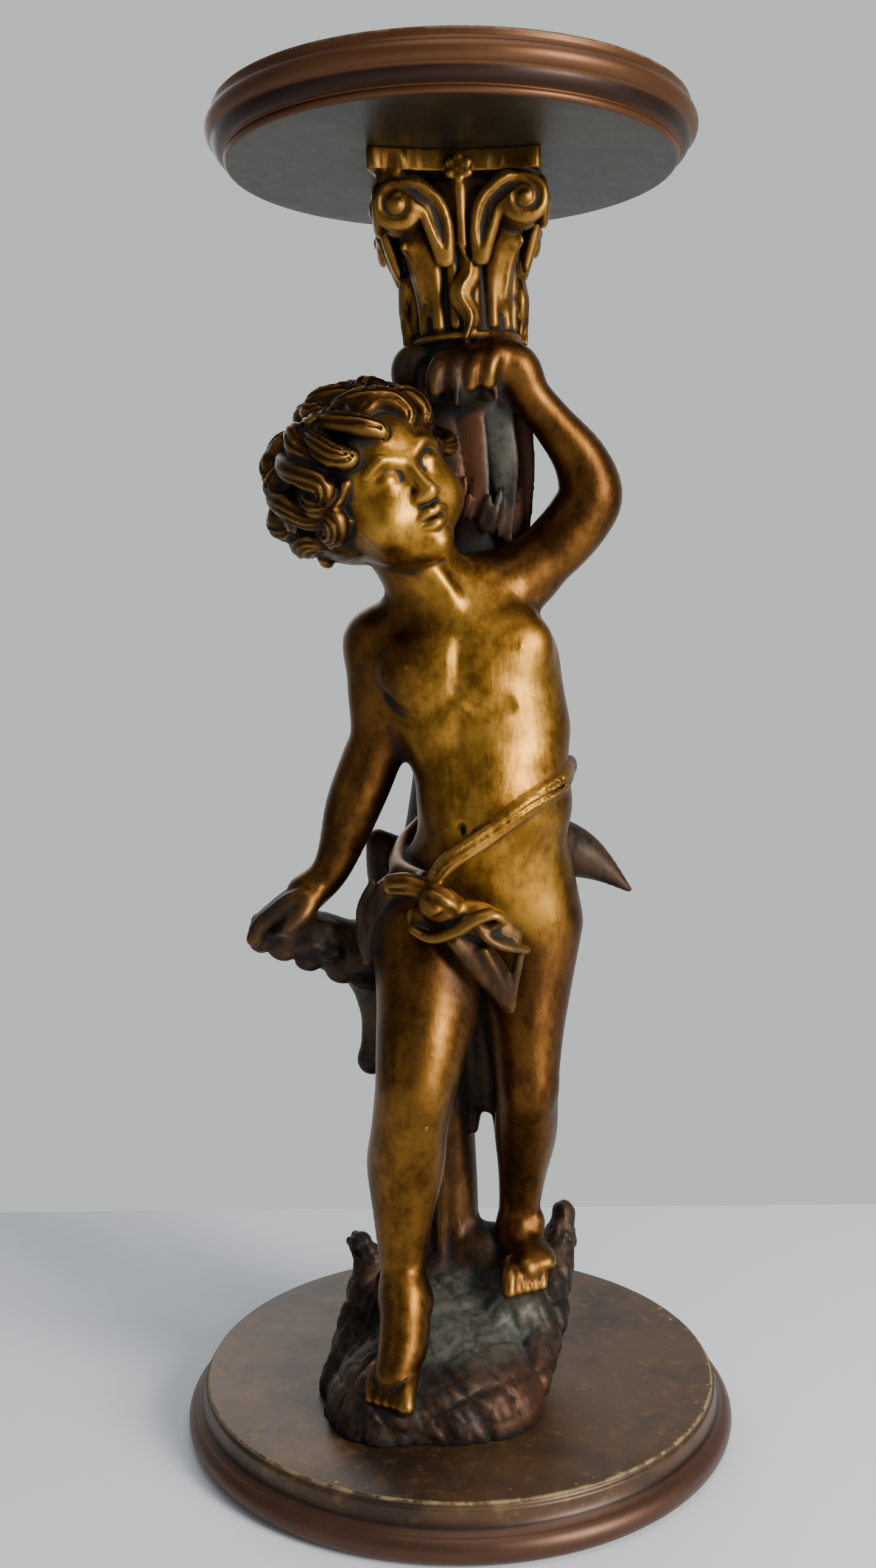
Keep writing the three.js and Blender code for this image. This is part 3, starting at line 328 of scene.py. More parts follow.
def add_left_leg(clay):
    clay.add(Limb([
        HIP_LEFT,
        [46, -12, 270, 30],
        [45, -20, 236, 24.5],
        [45, -25, 200, 20.5],
        [45, -12, 166, 20.5],
        [43, -2, 132, 16],
        [41, 2, 106, 13.5],
        [40, 0, 92, 13.5],
    ]), 14)
    clay.add(Egg([47, -32, 200], [15, 13, 17]), 8)
    clay.add(Egg([45, 0, 168], [18, 18, 28]), 8)
    clay.add(Limb([[40, 2, 92, 13.5], [42, -12, 82, 13], [44, -29, 77, 10.5]]), 8)
    clay.add(Egg([53, -14, 80], [10, 19, 10], [0, 0, 20]), 8)
    clay.add(Egg([52, -2, 98], [6, 7, 8]), 6)
    rows = [[0, -27, 0.6, 80, 1], [-1, -38, 2.2, 76, 1], [-2, -44, 2.2, 68, 0.9]]
    add_toes(clay, 34, 5.5, rows, [5.4, 4.3, 4.1, 3.9, 3.7], 1.4)


def add_right_arm(clay):
    clay.add(Limb([
        SHOULDER_RIGHT,
        [-51, -8, 462, 18.5],
        [-50, -6, 430, 18],
        [-56, -5, 410, 19],
        [-67, -7, 382, 18],
        [-77, -9, 352, 13.5],
        [-85, -10, 337, 12],
        [-98, -12, 326, 13],
    ]), 12)
    clay.add(Egg([-106, -16, 315], [15, 15, 9], [0, 20, 0]), 4)
    for finger in range(4):
        y = -25 + finger * 7
        bend = 1.5 * math.sin(2.1 * finger)
        clay.add(Limb([
            [-98, y + 2, 326, 6.6],
            [-108, y + 1, 323 + bend, 5.8],
            [-117, y, 316 + bend, 6.0],
            [-127, y, 308, 5.4],
            [-131, y, 299 - bend, 5.2],
        ], 4), 2)
    clay.add(Limb([[-92, -20, 326, 7], [-99, -29, 316, 6], [-108, -31, 308, 5.4]]), 4)


def add_left_arm(clay):
    clay.add(Limb([
        SHOULDER_LEFT,
        [67, -5, 551, 20.5],
        [81, -6, 568, 21],
        [87, -9, 583, 20.5],
        [80, -12, 604, 17],
        [63, -17, 625, 13.5],
        [48, -22, 642, 13],
        [39, -26, 658, 14.5],
        [24, -28, 663, 14],
    ]), 8)
    clay.add(Egg([14, -29, 658], [22, 14, 14], [0, 12, 0]), 6)
    for finger in range(4):
        x = 26 - finger * 11
        drop = 1.5 * finger
        clay.add(Limb([
            [x + 4, -33, 666 - drop, 6.2],
            [x, -38, 664 - drop, 6.4],
            [x - 4, -42, 656 - drop, 6.0],
            [x - 5, -41, 648 - drop, 5.0],
        ], 4), 4)


# The head, drawn upright and facing the front, then turned to its tilt

HEAD_TURN = rotation(0, -29, 0) @ rotation(0, 0, 30) @ rotation(6, 0, 0)
HEAD_SHIFT = np.array([-48.0, -40.0, 583.0])
HEAD_LOW = (-142, -126, 500)
HEAD_HIGH = (40, 56, 672)
SKULL_HALVES = (48, 54, 48)
SKULL_MIDDLE = (0, 10, 6)


def add_head(clay):
    head = Clay(HEAD_LOW, HEAD_HIGH)

    def add(shape, blend):
        head.add(shape.placed(HEAD_TURN, HEAD_SHIFT), blend)

    def cut(shape, blend):
        head.cut(shape.placed(HEAD_TURN, HEAD_SHIFT), blend)

    add(Egg(SKULL_MIDDLE, SKULL_HALVES), 0)
    add(Egg([0, -15, -12], [36, 33, 42]), 10)
    add(Egg([0, -33, -44], [12, 12, 10]), 10)
    add(Egg([0, -26, 18], [33, 21, 24]), 10)
    for side in (-1, 1):
        add(Egg([side * 20, -30, -20], [16, 14, 16]), 8)
        cut(Egg([side * 15, -50, 2], [9, 7, 6]), 6)
        add_eye(add, cut, side)
        add(Limb(mirrored(side, [[7, -46, 9, 2.2], [16, -46.5, 13.5, 2.6], [26, -40, 9, 2.2]])), 6)
        add_ear(add, cut, side)
        add(Egg([side * 5.5, -50, -16], [4, 5, 3.5]), 2.5)
        cut(Egg([side * 3.0, -54, -19.6], [1.6, 2.4, 1.6]), 1)
    add(Limb([[0, -44, 8, 4.5], [0, -50, -5, 4.6], [0, -54, -14, 5.6]]), 4)
    add_mouth(add, cut)
    clay.join(head, 5)


def add_eye(add, cut, side):
    """A lowered lid over the eye, with a soft fold above and a fine line below it."""
    add(Egg([side * 15, -39.5, 1.4], [8.6, 7.6, 6.4]), 2.5)
    add(Egg([side * 15, -39.0, -4.0], [7.6, 6.4, 3.6]), 3)
    line = [[8, -45.8, -1.6, 0.6], [15, -48.0, -3.2, 0.8], [22, -44.6, -1.6, 0.6]]
    fold = [[8, -46.0, 6.0, 0.6], [15, -47.0, 8.6, 0.8], [22, -43.6, 5.6, 0.6]]
    cut(Limb(mirrored(side, line)), 1.2)
    cut(Limb(mirrored(side, fold)), 3)


def add_ear(add, cut, side):
    add(Egg([side * 42, 6, -10], [6, 11, 15]), 3)
    rim = [[47, -2, -18, 2.2], [48, -3, -2, 2.4], [49, 6, 5, 2.6], [49, 14, -3, 2.4]]
    add(Limb(mirrored(side, rim)), 1)
    cut(Egg([side * 48, 4, -8], [3, 5, 8]), 2)


def add_mouth(add, cut):
    add(Limb([[-11, -43, -28, 1.8], [-4, -48.5, -25.4, 3.0], [0, -49, -26, 2.8],
              [4, -48.5, -25.4, 3.0], [11, -43, -28, 1.8]]), 2)
    add(Limb([[-8, -43, -32.5, 2.2], [0, -46.5, -33.5, 3.6], [8, -43, -32.5, 2.2]]), 2)
    cut(Limb([[-12, -46.5, -29, 0.7], [0, -52, -29.4, 0.9], [12, -46.5, -29, 0.7]]), 1)
    cut(Limb([[0, -52, -20, 0.8], [0, -51.5, -23, 1.0]]), 2)
    cut(Egg([0, -49, -39], [7, 3, 2.2]), 3)


def scalp(turn, height, lift):
    """A point on the scalp: turn from the face, and height above the brow, in degrees."""
    t, h = math.radians(turn), math.radians(height)
    return [
        SKULL_MIDDLE[0] + (SKULL_HALVES[0] + lift) * math.sin(t) * math.cos(h),
        SKULL_MIDDLE[1] - (SKULL_HALVES[1] + lift) * math.cos(t) * math.cos(h),
        SKULL_MIDDLE[2] + (SKULL_HALVES[2] + lift) * math.sin(h),
    ]


# Rows of locks from the crown down: height, count, thickness, length and nearest turn to the face
HAIR_ROWS = [
    [84, 5, 8.5, 30, 0],
    [60, 9, 8.5, 30, 0],
    [36, 12, 8, 30, 38],
    [12, 14, 7.5, 30, 62],
    [-12, 13, 5.8, 26, 74],
    [-30, 9, 4.6, 18, 92],
]


def lock(turn, height, length, bend, thickness):
    """A lock leaves the scalp, swells, sweeps down and rolls to one side at its tip."""
    knots = []
    for k in range(8):
        t = k / 7
        curl = max(0.0, t - 0.55)
        sweep = bend * length * (0.2 * t + 0.75 * t * t) / max(0.5, math.cos(math.radians(height)))
        drop = length * (1.1 * t - 0.55 * t * t - 1.6 * curl * curl)
        lift = 1 + (4 if height < 0 else 7) * math.sin(math.pi * min(1, 1.15 * t)) + 10 * curl * curl
        radius = thickness * (0.75 + 0.35 * math.sin(math.pi * t) - 0.35 * t)
        knots.append([*scalp(turn + sweep, height - drop, lift), radius])
    return knots


# Waves of hair on the side that shows, each a run of places on the scalp: turn and height
WAVES = [
    [[-93, 82], [-40, 78], [10, 70], [40, 55]],
    [[-20, 62], [0, 52], [19, 40], [22, 26], [12, 20]],
    [[-50, 58], [-34, 44], [-18, 32], [-8, 24], [-16, 20]],
    [[-62, 48], [-50, 34], [-42, 22], [-34, 18], [-30, 26]],
    [[-84, 58], [-72, 50], [-66, 38], [-56, 28], [-50, 20]],
    [[-94, 40], [-80, 30], [-66, 20], [-56, 10], [-62, 2], [-74, 4]],
    [[-110, 34], [-100, 18], [-86, 8], [-76, -4], [-66, -10], [-70, -18]],
    [[-64, -2], [-60, -12], [-68, -20], [-80, -18]],
    [[-125, 52], [-118, 40], [-108, 30], [-98, 34]],
    [[-128, 14], [-120, 2], [-106, -6], [-92, -4]],
    [[-118, -8], [-104, -18], [-90, -18], [-82, -28]],
    [[30, 50], [42, 38], [42, 24], [32, 16]],
    [[14, 62], [34, 62], [54, 52], [60, 36]],
]


def wave(places):
    """A lock that follows the scalp through its places, full in the middle, its tip rolled under."""
    knots = []
    for k, (turn, height) in enumerate(places):
        t = k / (len(places) - 1)
        lift = (5 if height < 0 else 8) * math.sin(math.pi * min(1, 0.15 + 0.9 * t)) + 2
        radius = 8.2 * (0.7 + 0.4 * math.sin(math.pi * t) - 0.3 * t)
        knots.append([*scalp(turn, height, lift), radius])
    return smooth_path(knots, 3)


def nape_strand(k):
    """A thin combed lock that runs from behind the ear down to the nape."""
    places = [[-130 + 6 * k, -2 - 2 * k, 5], [-112 + 6 * k, -24, 4.6], [-88 + 5 * k, -44, 3.4]]
    return [[*scalp(turn, height, 1), radius] for turn, height, radius in places]


def add_strands(hair, knots, phases, thickness, depth):
    """The body of a lock parted by grooves into a few uneven strands."""
    hair.add(Limb(knots, 3).placed(HEAD_TURN, HEAD_SHIFT), 1)
    path = np.array(knots)
    ahead = np.gradient(path[:, :3], axis=0)
    ahead /= np.linalg.norm(ahead, axis=1, keepdims=True)
    out = path[:, :3] - np.array(SKULL_MIDDLE)
    out /= np.linalg.norm(out, axis=1, keepdims=True)
    across = np.cross(ahead, out)
    along = np.linspace(-1, 1, len(path))[:, None]
    for phase in phases:
        turn = math.radians(phase) + 0.35 * along
        line = path[:, :3] + (across * np.cos(turn) + out * np.sin(turn)) * path[:, 3:] * (1 + depth)
        groove = np.column_stack([line, path[:, 3] * thickness * (1 - 0.5 * np.abs(along[:, 0]))])
        hair.cut(Limb(groove[1:-1], 3).placed(HEAD_TURN, HEAD_SHIFT), 1)


def add_hair(clay):
    hair = Clay(HEAD_LOW, HEAD_HIGH)
    hair.add(Egg([0, 18, 9], [50, 53, 51]).placed(HEAD_TURN, HEAD_SHIFT))
    locks = []
    for row, (height, count, thickness, length, hairline) in enumerate(HAIR_ROWS):
        for k in range(count):
            turn = 360 * (k + 0.5 * (row % 2)) / count + 9 * math.sin(3 * k + row)
            from_face = abs((turn + 540) % 360 - 180)
            if from_face >= hairline:
                locks.append([turn, height, length, 1 if (k + row) % 2 == 0 else -1, thickness])
    for place, (turn, height, length, bend, thickness) in enumerate(locks):
        phases = [[62, 118], [50, 84, 128], [75, 108]][place % 3]
        add_strands(hair, lock(turn, height, length, bend, thickness), phases, 0.2, 0.02)
    for k in range(5):
        hair.add(Limb(nape_strand(k), 3).placed(HEAD_TURN, HEAD_SHIFT), 0.8)
    for place, places in enumerate(WAVES):
        phases = [[60, 96, 130], [50, 88, 122], [70, 110]][place % 3]
        add_strands(hair, wave(places), phases, 0.17, 0.0)
    for turn, height in ([-46, 12], [-74, 14], [-88, 22]):
        hair.cut(Egg(scalp(turn, height, 12), [4, 6, 4]).placed(HEAD_TURN, HEAD_SHIFT), 3)
    clay.join(hair, 1.5)
    return hair


# The loincloth: a twisted strap over the left hip, a knot and a small flying hem

def add_cloth(clay):
    cloth = Clay((-78, -100, 240), (92, 60, 430))
    strap = [[74, -7, 408], [66, -39, 400], [44, -58, 388], [16, -65, 369], [-6, -67, 354], [-15, -68, 342]]
    for shift in (-2.4, 2.6):
        cloth.add(Limb([[x, y, z + shift, 4.4] for x, y, z in strap]), 1.5)
    for shift, radius in ((-4.5, 0.8), (0.2, 1.1), (4, 0.8)):
        groove = [[x, y - 4.4, z + shift + 1.4 * k - 3, radius] for k, (x, y, z) in enumerate(strap)]
        cloth.cut(Limb(groove), 1.2)
    cloth.add(Limb([[74, -8, 408, 5], [62, 20, 412, 5], [30, 38, 404, 5], [-8, 32, 378, 5]]), 2)
    cloth.add(Limb([[-8, 32, 378, 6], [-32, 14, 356, 7], [-36, -24, 344, 7], [-20, -58, 342, 6]]), 3)
    add_knot(cloth)
    add_hem(cloth)
    drape = [[-34, -32, 338, 9], [-50, -29, 324, 10], [-58, -23, 302, 10], [-58, -19, 285, 6]]
    cloth.add(Limb(drape, flat=[1, 0.7, 0], squeeze=0.6), 4)
    for fold in range(3):
        x = -40 - fold * 7
        cloth.add(Limb([[x, -38 + fold * 3, 336, 2.4], [x - 8, -34 + fold * 3, 318, 2.8],
                        [x - 8, -28 + fold * 3, 294, 2]]), 2.5)
    clay.join(cloth, 2.5)


def add_knot(cloth):
    """The knot: a rolled end that sticks out to the left and a ball of cloth pinched by two folds."""
    cloth.add(Limb([[-18, -66, 337, 6.5], [-31, -62, 340, 7.5], [-40, -56, 339, 7]]), 2)
    for rise in (-2, 3.5):
        fold = [[-14, -73, 336, 0.8], [-28, -71, 340, 1.1], [-42, -62, 339, 0.8]]
        cloth.cut(Limb([[x, y, z + rise, radius] for x, y, z, radius in fold]), 1)
    cloth.cut(Egg([-46, -54, 339], [3, 3, 3]), 1.5)
    cloth.add(Egg([-11, -71, 329], [14, 10, 12], [0, 25, 0]), 3)
    cloth.cut(Limb([[-20, -77, 335, 1.4], [-12, -81.5, 331, 1.9], [-2, -78, 322, 1.4]]), 2)
    cloth.cut(Limb([[-14, -76, 341, 1.4], [-4, -79, 336, 1.9], [4, -76, 329, 1.4]]), 2)


def add_hem(cloth):
    """The loose end: a broad ribbon that curls in an S over dark hollows, and a hanging point."""
    sheet = {"flat": [0.1, -1, 0.2], "squeeze": 0.5}
    ribbon = {"flat": [0.2, -0.5, 1], "squeeze": 0.6}
    spread = [[-24, -64, 320, 8], [-6, -69, 322, 10], [14, -70, 319, 11], [32, -66, 308, 8]]
    point = [[0, -67, 310, 9], [14, -66, 293, 11], [25, -62, 278, 9], [32, -57, 260, 4]]
    cloth.add(Limb(spread, **sheet), 4)
    cloth.add(Limb(point, **sheet), 4)
    cloth.add(Limb([
        [-27, -70, 313, 4.0],
        [-16, -76, 309, 4.6],
        [-2, -81, 314, 5.0],
        [10, -83, 322, 5.2],
        [21, -82, 325, 5.0],
        [27, -78, 320, 4.0],
        [20, -75, 315, 3.0],
    ], **ribbon), 3)
    tail = [[12, -76, 318, 3.0], [18, -77, 309, 4.0], [29, -73, 303, 4.6], [42, -65, 299, 3.4]]
    cloth.add(Limb(tail, **ribbon), 3)
    cloth.cut(Limb([[-14, -80, 321, 2.6], [0, -82, 327, 3.4], [12, -80, 331, 2.4]]), 2)
    cloth.cut(Limb([[24, -82, 311, 2.4], [36, -74, 307, 2.4]]), 2)
    ridges = (
        [[-2, -71, 304, 3], [12, -69, 286, 2.8], [31, -59, 262, 2.4]],
        [[16, -72, 300, 3], [24, -68, 284, 2.6], [32, -60, 264, 2]],
        [[38, -65, 294, 3], [36, -62, 280, 2.6], [33, -58, 264, 2]],
    )
    for ridge in ridges:
        cloth.add(Limb(ridge), 4)


# The tree behind the child: trunk, two broken boughs and the bark that stands up by the head

def add_tree(clay):
    clay.add(Limb([
        [-5, 18, 40, 24],
        [-5, 18, 72, 19],
        [-4, 20, 115, 17.6],
        [-7, 22, 157, 19],
        [-13, 28, 220, 25],
        [-22, 32, 300, 33],
        [-8, 42, 350, 28],
        [4, 42, 450, 26],
        [12, 30, 540, 28],
        [15, 24, 590, 29],
        [13, 18, 630, 30],
        [8, 4, 678, 33],
    ]), 6)
    clay.add(Limb([[20, 5, 183, 10], [19, 4, 220, 17], [17, 2, 260, 19], [16, 0, 290, 20]]), 6)
    for foot, head in (([11, 8, 160, 3], [13, 7, 205, 9]), ([30, 2, 138, 3], [29, 2, 200, 9])):
        clay.add(Limb([foot, head]), 5)
    clay.add(Egg([21, 8, 74], [24, 20, 19]), 10)
    add_boughs(clay)
    add_bark(clay)


def add_boughs(clay):
    clay.add(Limb([
        [-22, 26, 276, 30],
        [-48, 18, 280, 26],
        [-72, 10, 284, 20],
        [-96, 3, 295, 17],
        [-124, -2, 299, 12],
    ]), 8)
    for c, s in ring(5):
        clay.add(Egg([-129, -4 + 9 * c, 298 + 8 * s], [7, 6, 6]), 2)
    for knot in range(16):
        t = knot / 15
        turn = math.radians(230 + 110 * math.sin(7 * knot))
        reach = 21 - 10 * t
        place = [-62 - 62 * t, 8 - 10 * t + reach * math.cos(turn), 281 + 17 * t + reach * math.sin(turn)]
        clay.add(Egg(place, [8, 5, 4.5], [0, 20 * math.sin(5 * knot), 0]), 4)
    clay.cut(Egg([-137, -4, 297], [5, 5, 5]), 2)
    clay.add(Limb([[-52, 18, 356, 8], [-40, 26, 335, 20], [-30, 30, 305, 26]]), 8)
    clay.add(Limb([
        [10, 36, 352, 26],
        [52, 34, 352, 22],
        [78, 26, 347, 17.5],
        [97, 24, 337, 10.5],
        [117, 22, 321, 2],
    ]), 6)
    clay.add(Limb([[-57, 18, 206, 9], [-51, 20, 236, 14], [-51, 18, 264, 21]]), 8)
    clay.add(Egg([-58, 18, 206], [9, 10, 9]), 5)


def add_bark(clay):
    for ridge in range(10):
        knots = []
        for k, (z, r) in enumerate([[60, 22], [110, 17], [170, 19], [230, 25]]):
            turn = math.radians(36 * ridge) + 0.12 * k
            knots.append([-6 - 2.2 * k + r * math.cos(turn), 18 + 3 * k + r * math.sin(turn), z, 2.4])
        clay.add(Limb(knots), 4)
    for plate in range(10):
        turn = math.radians(-20 + plate * 22 + 8 * math.sin(5 * plate))
        foot = 552 + 34 * (plate * 0.618 % 1)
        add_plate(clay, turn, foot, 34 + 26 * (plate * 0.382 % 1), 28 + 3 * (plate % 2), 10)
    for shard in range(18):
        turn = math.radians(205 + 165 * (shard * 0.618 % 1))
        foot = 540 + 34 * (shard * 0.382 % 1)
        add_plate(clay, turn, foot, 16 + 20 * (shard * 0.27 % 1), 29 + 2 * (shard * 0.45 % 1), 3.6)
    add_slabs(clay)


def add_plate(clay, turn, foot, height, out, width):
    """A flake of bark that lies on the trunk and comes to a point at both ends."""
    knots = []
    for rise, size in ((0, 0.3), (0.35, 0.9), (0.75, 1.0), (1, 0.35)):
        around = turn + 0.2 * rise
        knots.append([15 + out * math.cos(around), 23 - 8 * rise + out * math.sin(around),
                      foot + height * rise, width * size])
    clay.add(Limb(knots, 3, [math.cos(turn), math.sin(turn), 0], 0.5), 1)


def add_slabs(clay):
    """Long upright slabs of split wood by the head, the last flaring out at the trunk's right edge."""
    slabs = (
        [[-10, -10, 646, 9], [-6, -13, 618, 10], [0, -11, 592, 7], [4, -8, 574, 3]],
        [[8, -14, 650, 9], [10, -15, 622, 11], [14, -12, 596, 9], [19, -8, 562, 4]],
        [[27, -11, 652, 10], [28, -12, 624, 11], [32, -8, 598, 10], [34, -3, 556, 4]],
        [[41, 0, 650, 7], [44, 3, 622, 8], [47, 8, 592, 6], [47, 11, 556, 3]],
    )
    for slab in slabs:
        clay.add(Limb(slab, 4, [0.25, 1, 0], 0.3), 0.6)


# The rocky mound that the feet and the tree stand on, with root stumps

MOUND_LOW = (-140, -124, -8)
MOUND_HIGH = (110, 90, 118)


def rock_relief(x, y, z):
    """How far a face of the rock stands back at a place, in sharp valleys between blunt bulges."""
    depth = 0.0
    for size, height in ((9.0, 2.6), (3.6, 1.0)):
        one = np.abs(np.sin((0.9 * x + 0.5 * y + 0.3 * z) / size + 0.8 + 0.7 * np.sin(y / 17)))
        two = np.abs(np.sin((-0.6 * x + 0.8 * y + 0.2 * z) / size + 2.0 + 0.7 * np.sin(x / 19)))
        three = np.abs(np.sin((0.2 * x - 0.5 * y + 0.9 * z) / size + 0.4))
        depth = depth + height * (1 - np.minimum(np.minimum(one, two), three)) ** 2
    return depth


def add_mound(clay):
    mound = Clay(MOUND_LOW, MOUND_HIGH)
    mound.add(Egg([-14, -8, 0], [72, 76, 60]), 6)
    mound.add(Egg([-44, -64, 0], [44, 48, 42]), 12)
    mound.add(Egg([16, -58, 0], [38, 48, 44]), 12)
    mound.add(Egg([-8, -84, 0], [32, 28, 32]), 10)
    mound.add(Egg([-5, 18, 48], [36, 32, 34]), 14)
    mound.add(Egg([38, -12, 46], [26, 32, 24]), 10)
    mound.add(Limb([[-50, 12, 60, 16], [-64, 6, 74, 9.5], [-68, 4, 82, 9]]), 6)
    mound.add(Limb([[-60, 2, 62, 12], [-66, -12, 44, 13], [-74, -28, 22, 13], [-80, -40, 4, 13]]), 6)
    mound.add(Limb([
        [73, 27, 92, 9],
        [71, 21, 79, 11.5],
        [64, 6, 60, 14],
        [58, -20, 36, 14],
        [45, -58, 16, 14],
        [34, -82, 6, 13],
    ]), 6)
    where, (x, y, z) = mound.window(np.array(MOUND_LOW), np.array(MOUND_HIGH), 0)
    mound.field[where] += rock_relief(x, y, z) - 0.8
    clay.join(mound, 3)
    for shift in (-1, 0, 1):
        clay.add(Limb([[-54 - 4 * shift, -2 + 4 * shift, 68, 2], [-64 - 5 * shift, -22 + 5 * shift, 46, 2.6],
                       [-76 - 4 * shift, -42 + 6 * shift, 18, 2.4]]), 2)
    clay.add(Limb([[42, -70, 18, 6], [34, -84, 13, 8], [24, -92, 8, 7]]), 4)
    clay.add(Limb([[54, -34, 36, 3], [48, -54, 24, 4], [42, -70, 16, 4]]), 3)


# The leafy collar under the capital, which the left hand holds

def add_collar(clay):
    clay.add(Egg([7, 2, 650], [36, 38, 20]), 6)
    for lobe, (c, s) in enumerate(ring(11)):
        size = 12 if lobe % 2 == 0 else 9
        x, y, z = 8 + 33 * c, 2 + 35 * s, 648 + 4 * (lobe % 2)
        clay.add(Egg([x, y, z], [size, size, 15]), 1.5)
        clay.add(Limb([
            [x - 4 * c, y - 4 * s, z + 14, 2],
            [x + (size - 2) * c, y + (size - 2) * s, z + 4, 2.4],
            [x + (size + 1) * c, y + (size + 1) * s, z - 14, 1.8],
        ]), 3)
    clay.add(Egg([-25, -12, 658], [14, 14, 17]), 3)


# The capital, in its own frame: it leans a little to the left as it rises

CAPITAL_SHIFT = np.array([9.0, 0.0, 672.0])
CAPITAL_LEAN = rotation(0, -3, 0)
ASTRAGAL_RADIUS = 33.5
VOLUTE_RADIUS = 15.5
VOLUTE_OUT = 38
VOLUTE_HEIGHT = 80


def add_capital(clay):
    capital = Clay((-72, -72, 656), (88, 72, DRAWN_HEIGHT + 6))

    def add(shape, blend, turn=0):
        capital.add(shape.placed(CAPITAL_LEAN @ rotation(0, 0, turn), CAPITAL_SHIFT), blend)

    def cut(shape, blend, turn=0):
        capital.cut(shape.placed(CAPITAL_LEAN @ rotation(0, 0, turn), CAPITAL_SHIFT), blend)

    add(Limb([[0, 0, -6, 30], [0, 0, 30, 30], [0, 0, 64, 32], [0, 0, 92, 36]]), 0)
    loop = [[ASTRAGAL_RADIUS * c, ASTRAGAL_RADIUS * s, 5, 2.8] for c, s in ring(24)]
    add(Limb(loop + loop[:1], 1), 1)
    for c, s in ring(16, 11):
        add(Limb([[30 * c, 30 * s, 12, 4], [30.5 * c, 30.5 * s, 34, 4], [33 * c, 33 * s, 58, 4.4]]), 0.8)
    for corner in range(4):
        add_corner(add, 45 + corner * 90)
    for face in range(4):
        add_capital_face(add, cut, face * 90)
    clay.join(capital, 2)


def add_corner(add, turn):
    leaf = {"flat": [1, 0, 0], "squeeze": 0.5}
    add(Limb([[30, 0, 26, 8], [33, 0, 46, 12], [41, 0, 61, 10], [47, 0, 60, 5.5]], **leaf), 3, turn)
    add(Limb([[35, 0, 28, 2], [40, 0, 46, 2.6], [48, 0, 61, 2.4], [51, 0, 58, 1.8]]), 2, turn)
    add(Limb([[36, 0, 62, 8], [46, 0, 82, 9], [58, 0, 98, 9]]), 4, turn)


def add_capital_face(add, cut, turn):
    leaf = {"flat": [0, 1, 0], "squeeze": 0.6}
    wavy = [[0, -33, 54, 5], [4, -35, 42, 6.5], [-3, -36, 29, 7], [3, -35, 15, 5.5], [-1, -34, 3, 2.5]]
    add(Limb(wavy, **leaf), 1, turn)
    add(Limb([[x, y - 4, z, 1.6] for x, y, z, _ in wavy]), 1.5, turn)
    add(Limb([[0, -38, 58, 4], [0, -42, 80, 4], [0, -45, 98, 5]]), 2, turn)
    add(Egg([0, -46, 100], [6, 5, 6]), 1, turn)
    for c, s in ring(6, 30):
        add(Egg([6 * c, -48, 100 + 6 * s], [3.4, 3, 3.4]), 0.8, turn)
    for side in (-1, 1):
        add_scroll(add, cut, side, turn)


def add_scroll(add, cut, side, turn):
    """A ram's horn: a broad hollowed band with thin rims, sprung from the stem and wound inwards."""
    add(Egg([side * 34, -38, VOLUTE_HEIGHT], [14, 12, 15]), 2, turn)
    add(Egg([side * VOLUTE_OUT, -50, VOLUTE_HEIGHT], [VOLUTE_RADIUS, 5, VOLUTE_RADIUS]), 1, turn)
    band = [[11, -40, 50, 6], [13, -44, 64, 8.5], [18, -48, 78, 9.5], [28, -50, 88, 9]]
    add(Limb(mirrored(side, band), 4, [0, 1, 0], 0.5), 2, turn)
    hollow = mirrored(side, [[11, -46, 54, 1.5], [13, -50, 66, 4.5], [18, -54.5, 79, 5.2]])
    for k in range(10):
        angle = math.radians(62 + k * 44)
        radius = 10.5 - k * 0.7
        c, s = side * math.cos(angle), math.sin(angle)
        hollow.append([side * VOLUTE_OUT - radius * c, -56, VOLUTE_HEIGHT + radius * s, 4.4 - 0.22 * k])
    cut(Limb(hollow, 4), 1, turn)
    add(Egg([side * VOLUTE_OUT, -53, VOLUTE_HEIGHT], [3.4, 2.6, 3.4]), 1, turn)


class Slab:
    """The capital's slab: square with hollow sides and blunt corners."""

    middle = (1, 0)
    half = 54
    hollow = 9
    blunt = 6
    thickness = 13

    def box(self):
        low = np.array([self.middle[0] - self.half, -self.half, DRAWN_HEIGHT - self.thickness])
        return low, np.array([self.middle[0] + self.half, self.half, DRAWN_HEIGHT])

    def distance(self, x, y, z, margin):
        dx, dy = np.abs(x - self.middle[0]), np.abs(y)
        side_x = dx - self.half + self.hollow * (1 - (dy / self.half) ** 2)
        side_y = dy - self.half + self.hollow * (1 - (dx / self.half) ** 2)
        corner = (dx + dy - 2 * self.half + self.blunt) * math.sqrt(0.5)
        rise = np.abs(z - DRAWN_HEIGHT + self.thickness / 2) - self.thickness / 2
        return np.maximum(np.maximum(np.maximum(side_x, side_y), corner), rise)


# The skin of the clay: one point in each cell that the surface crosses, one quad round each crossed edge

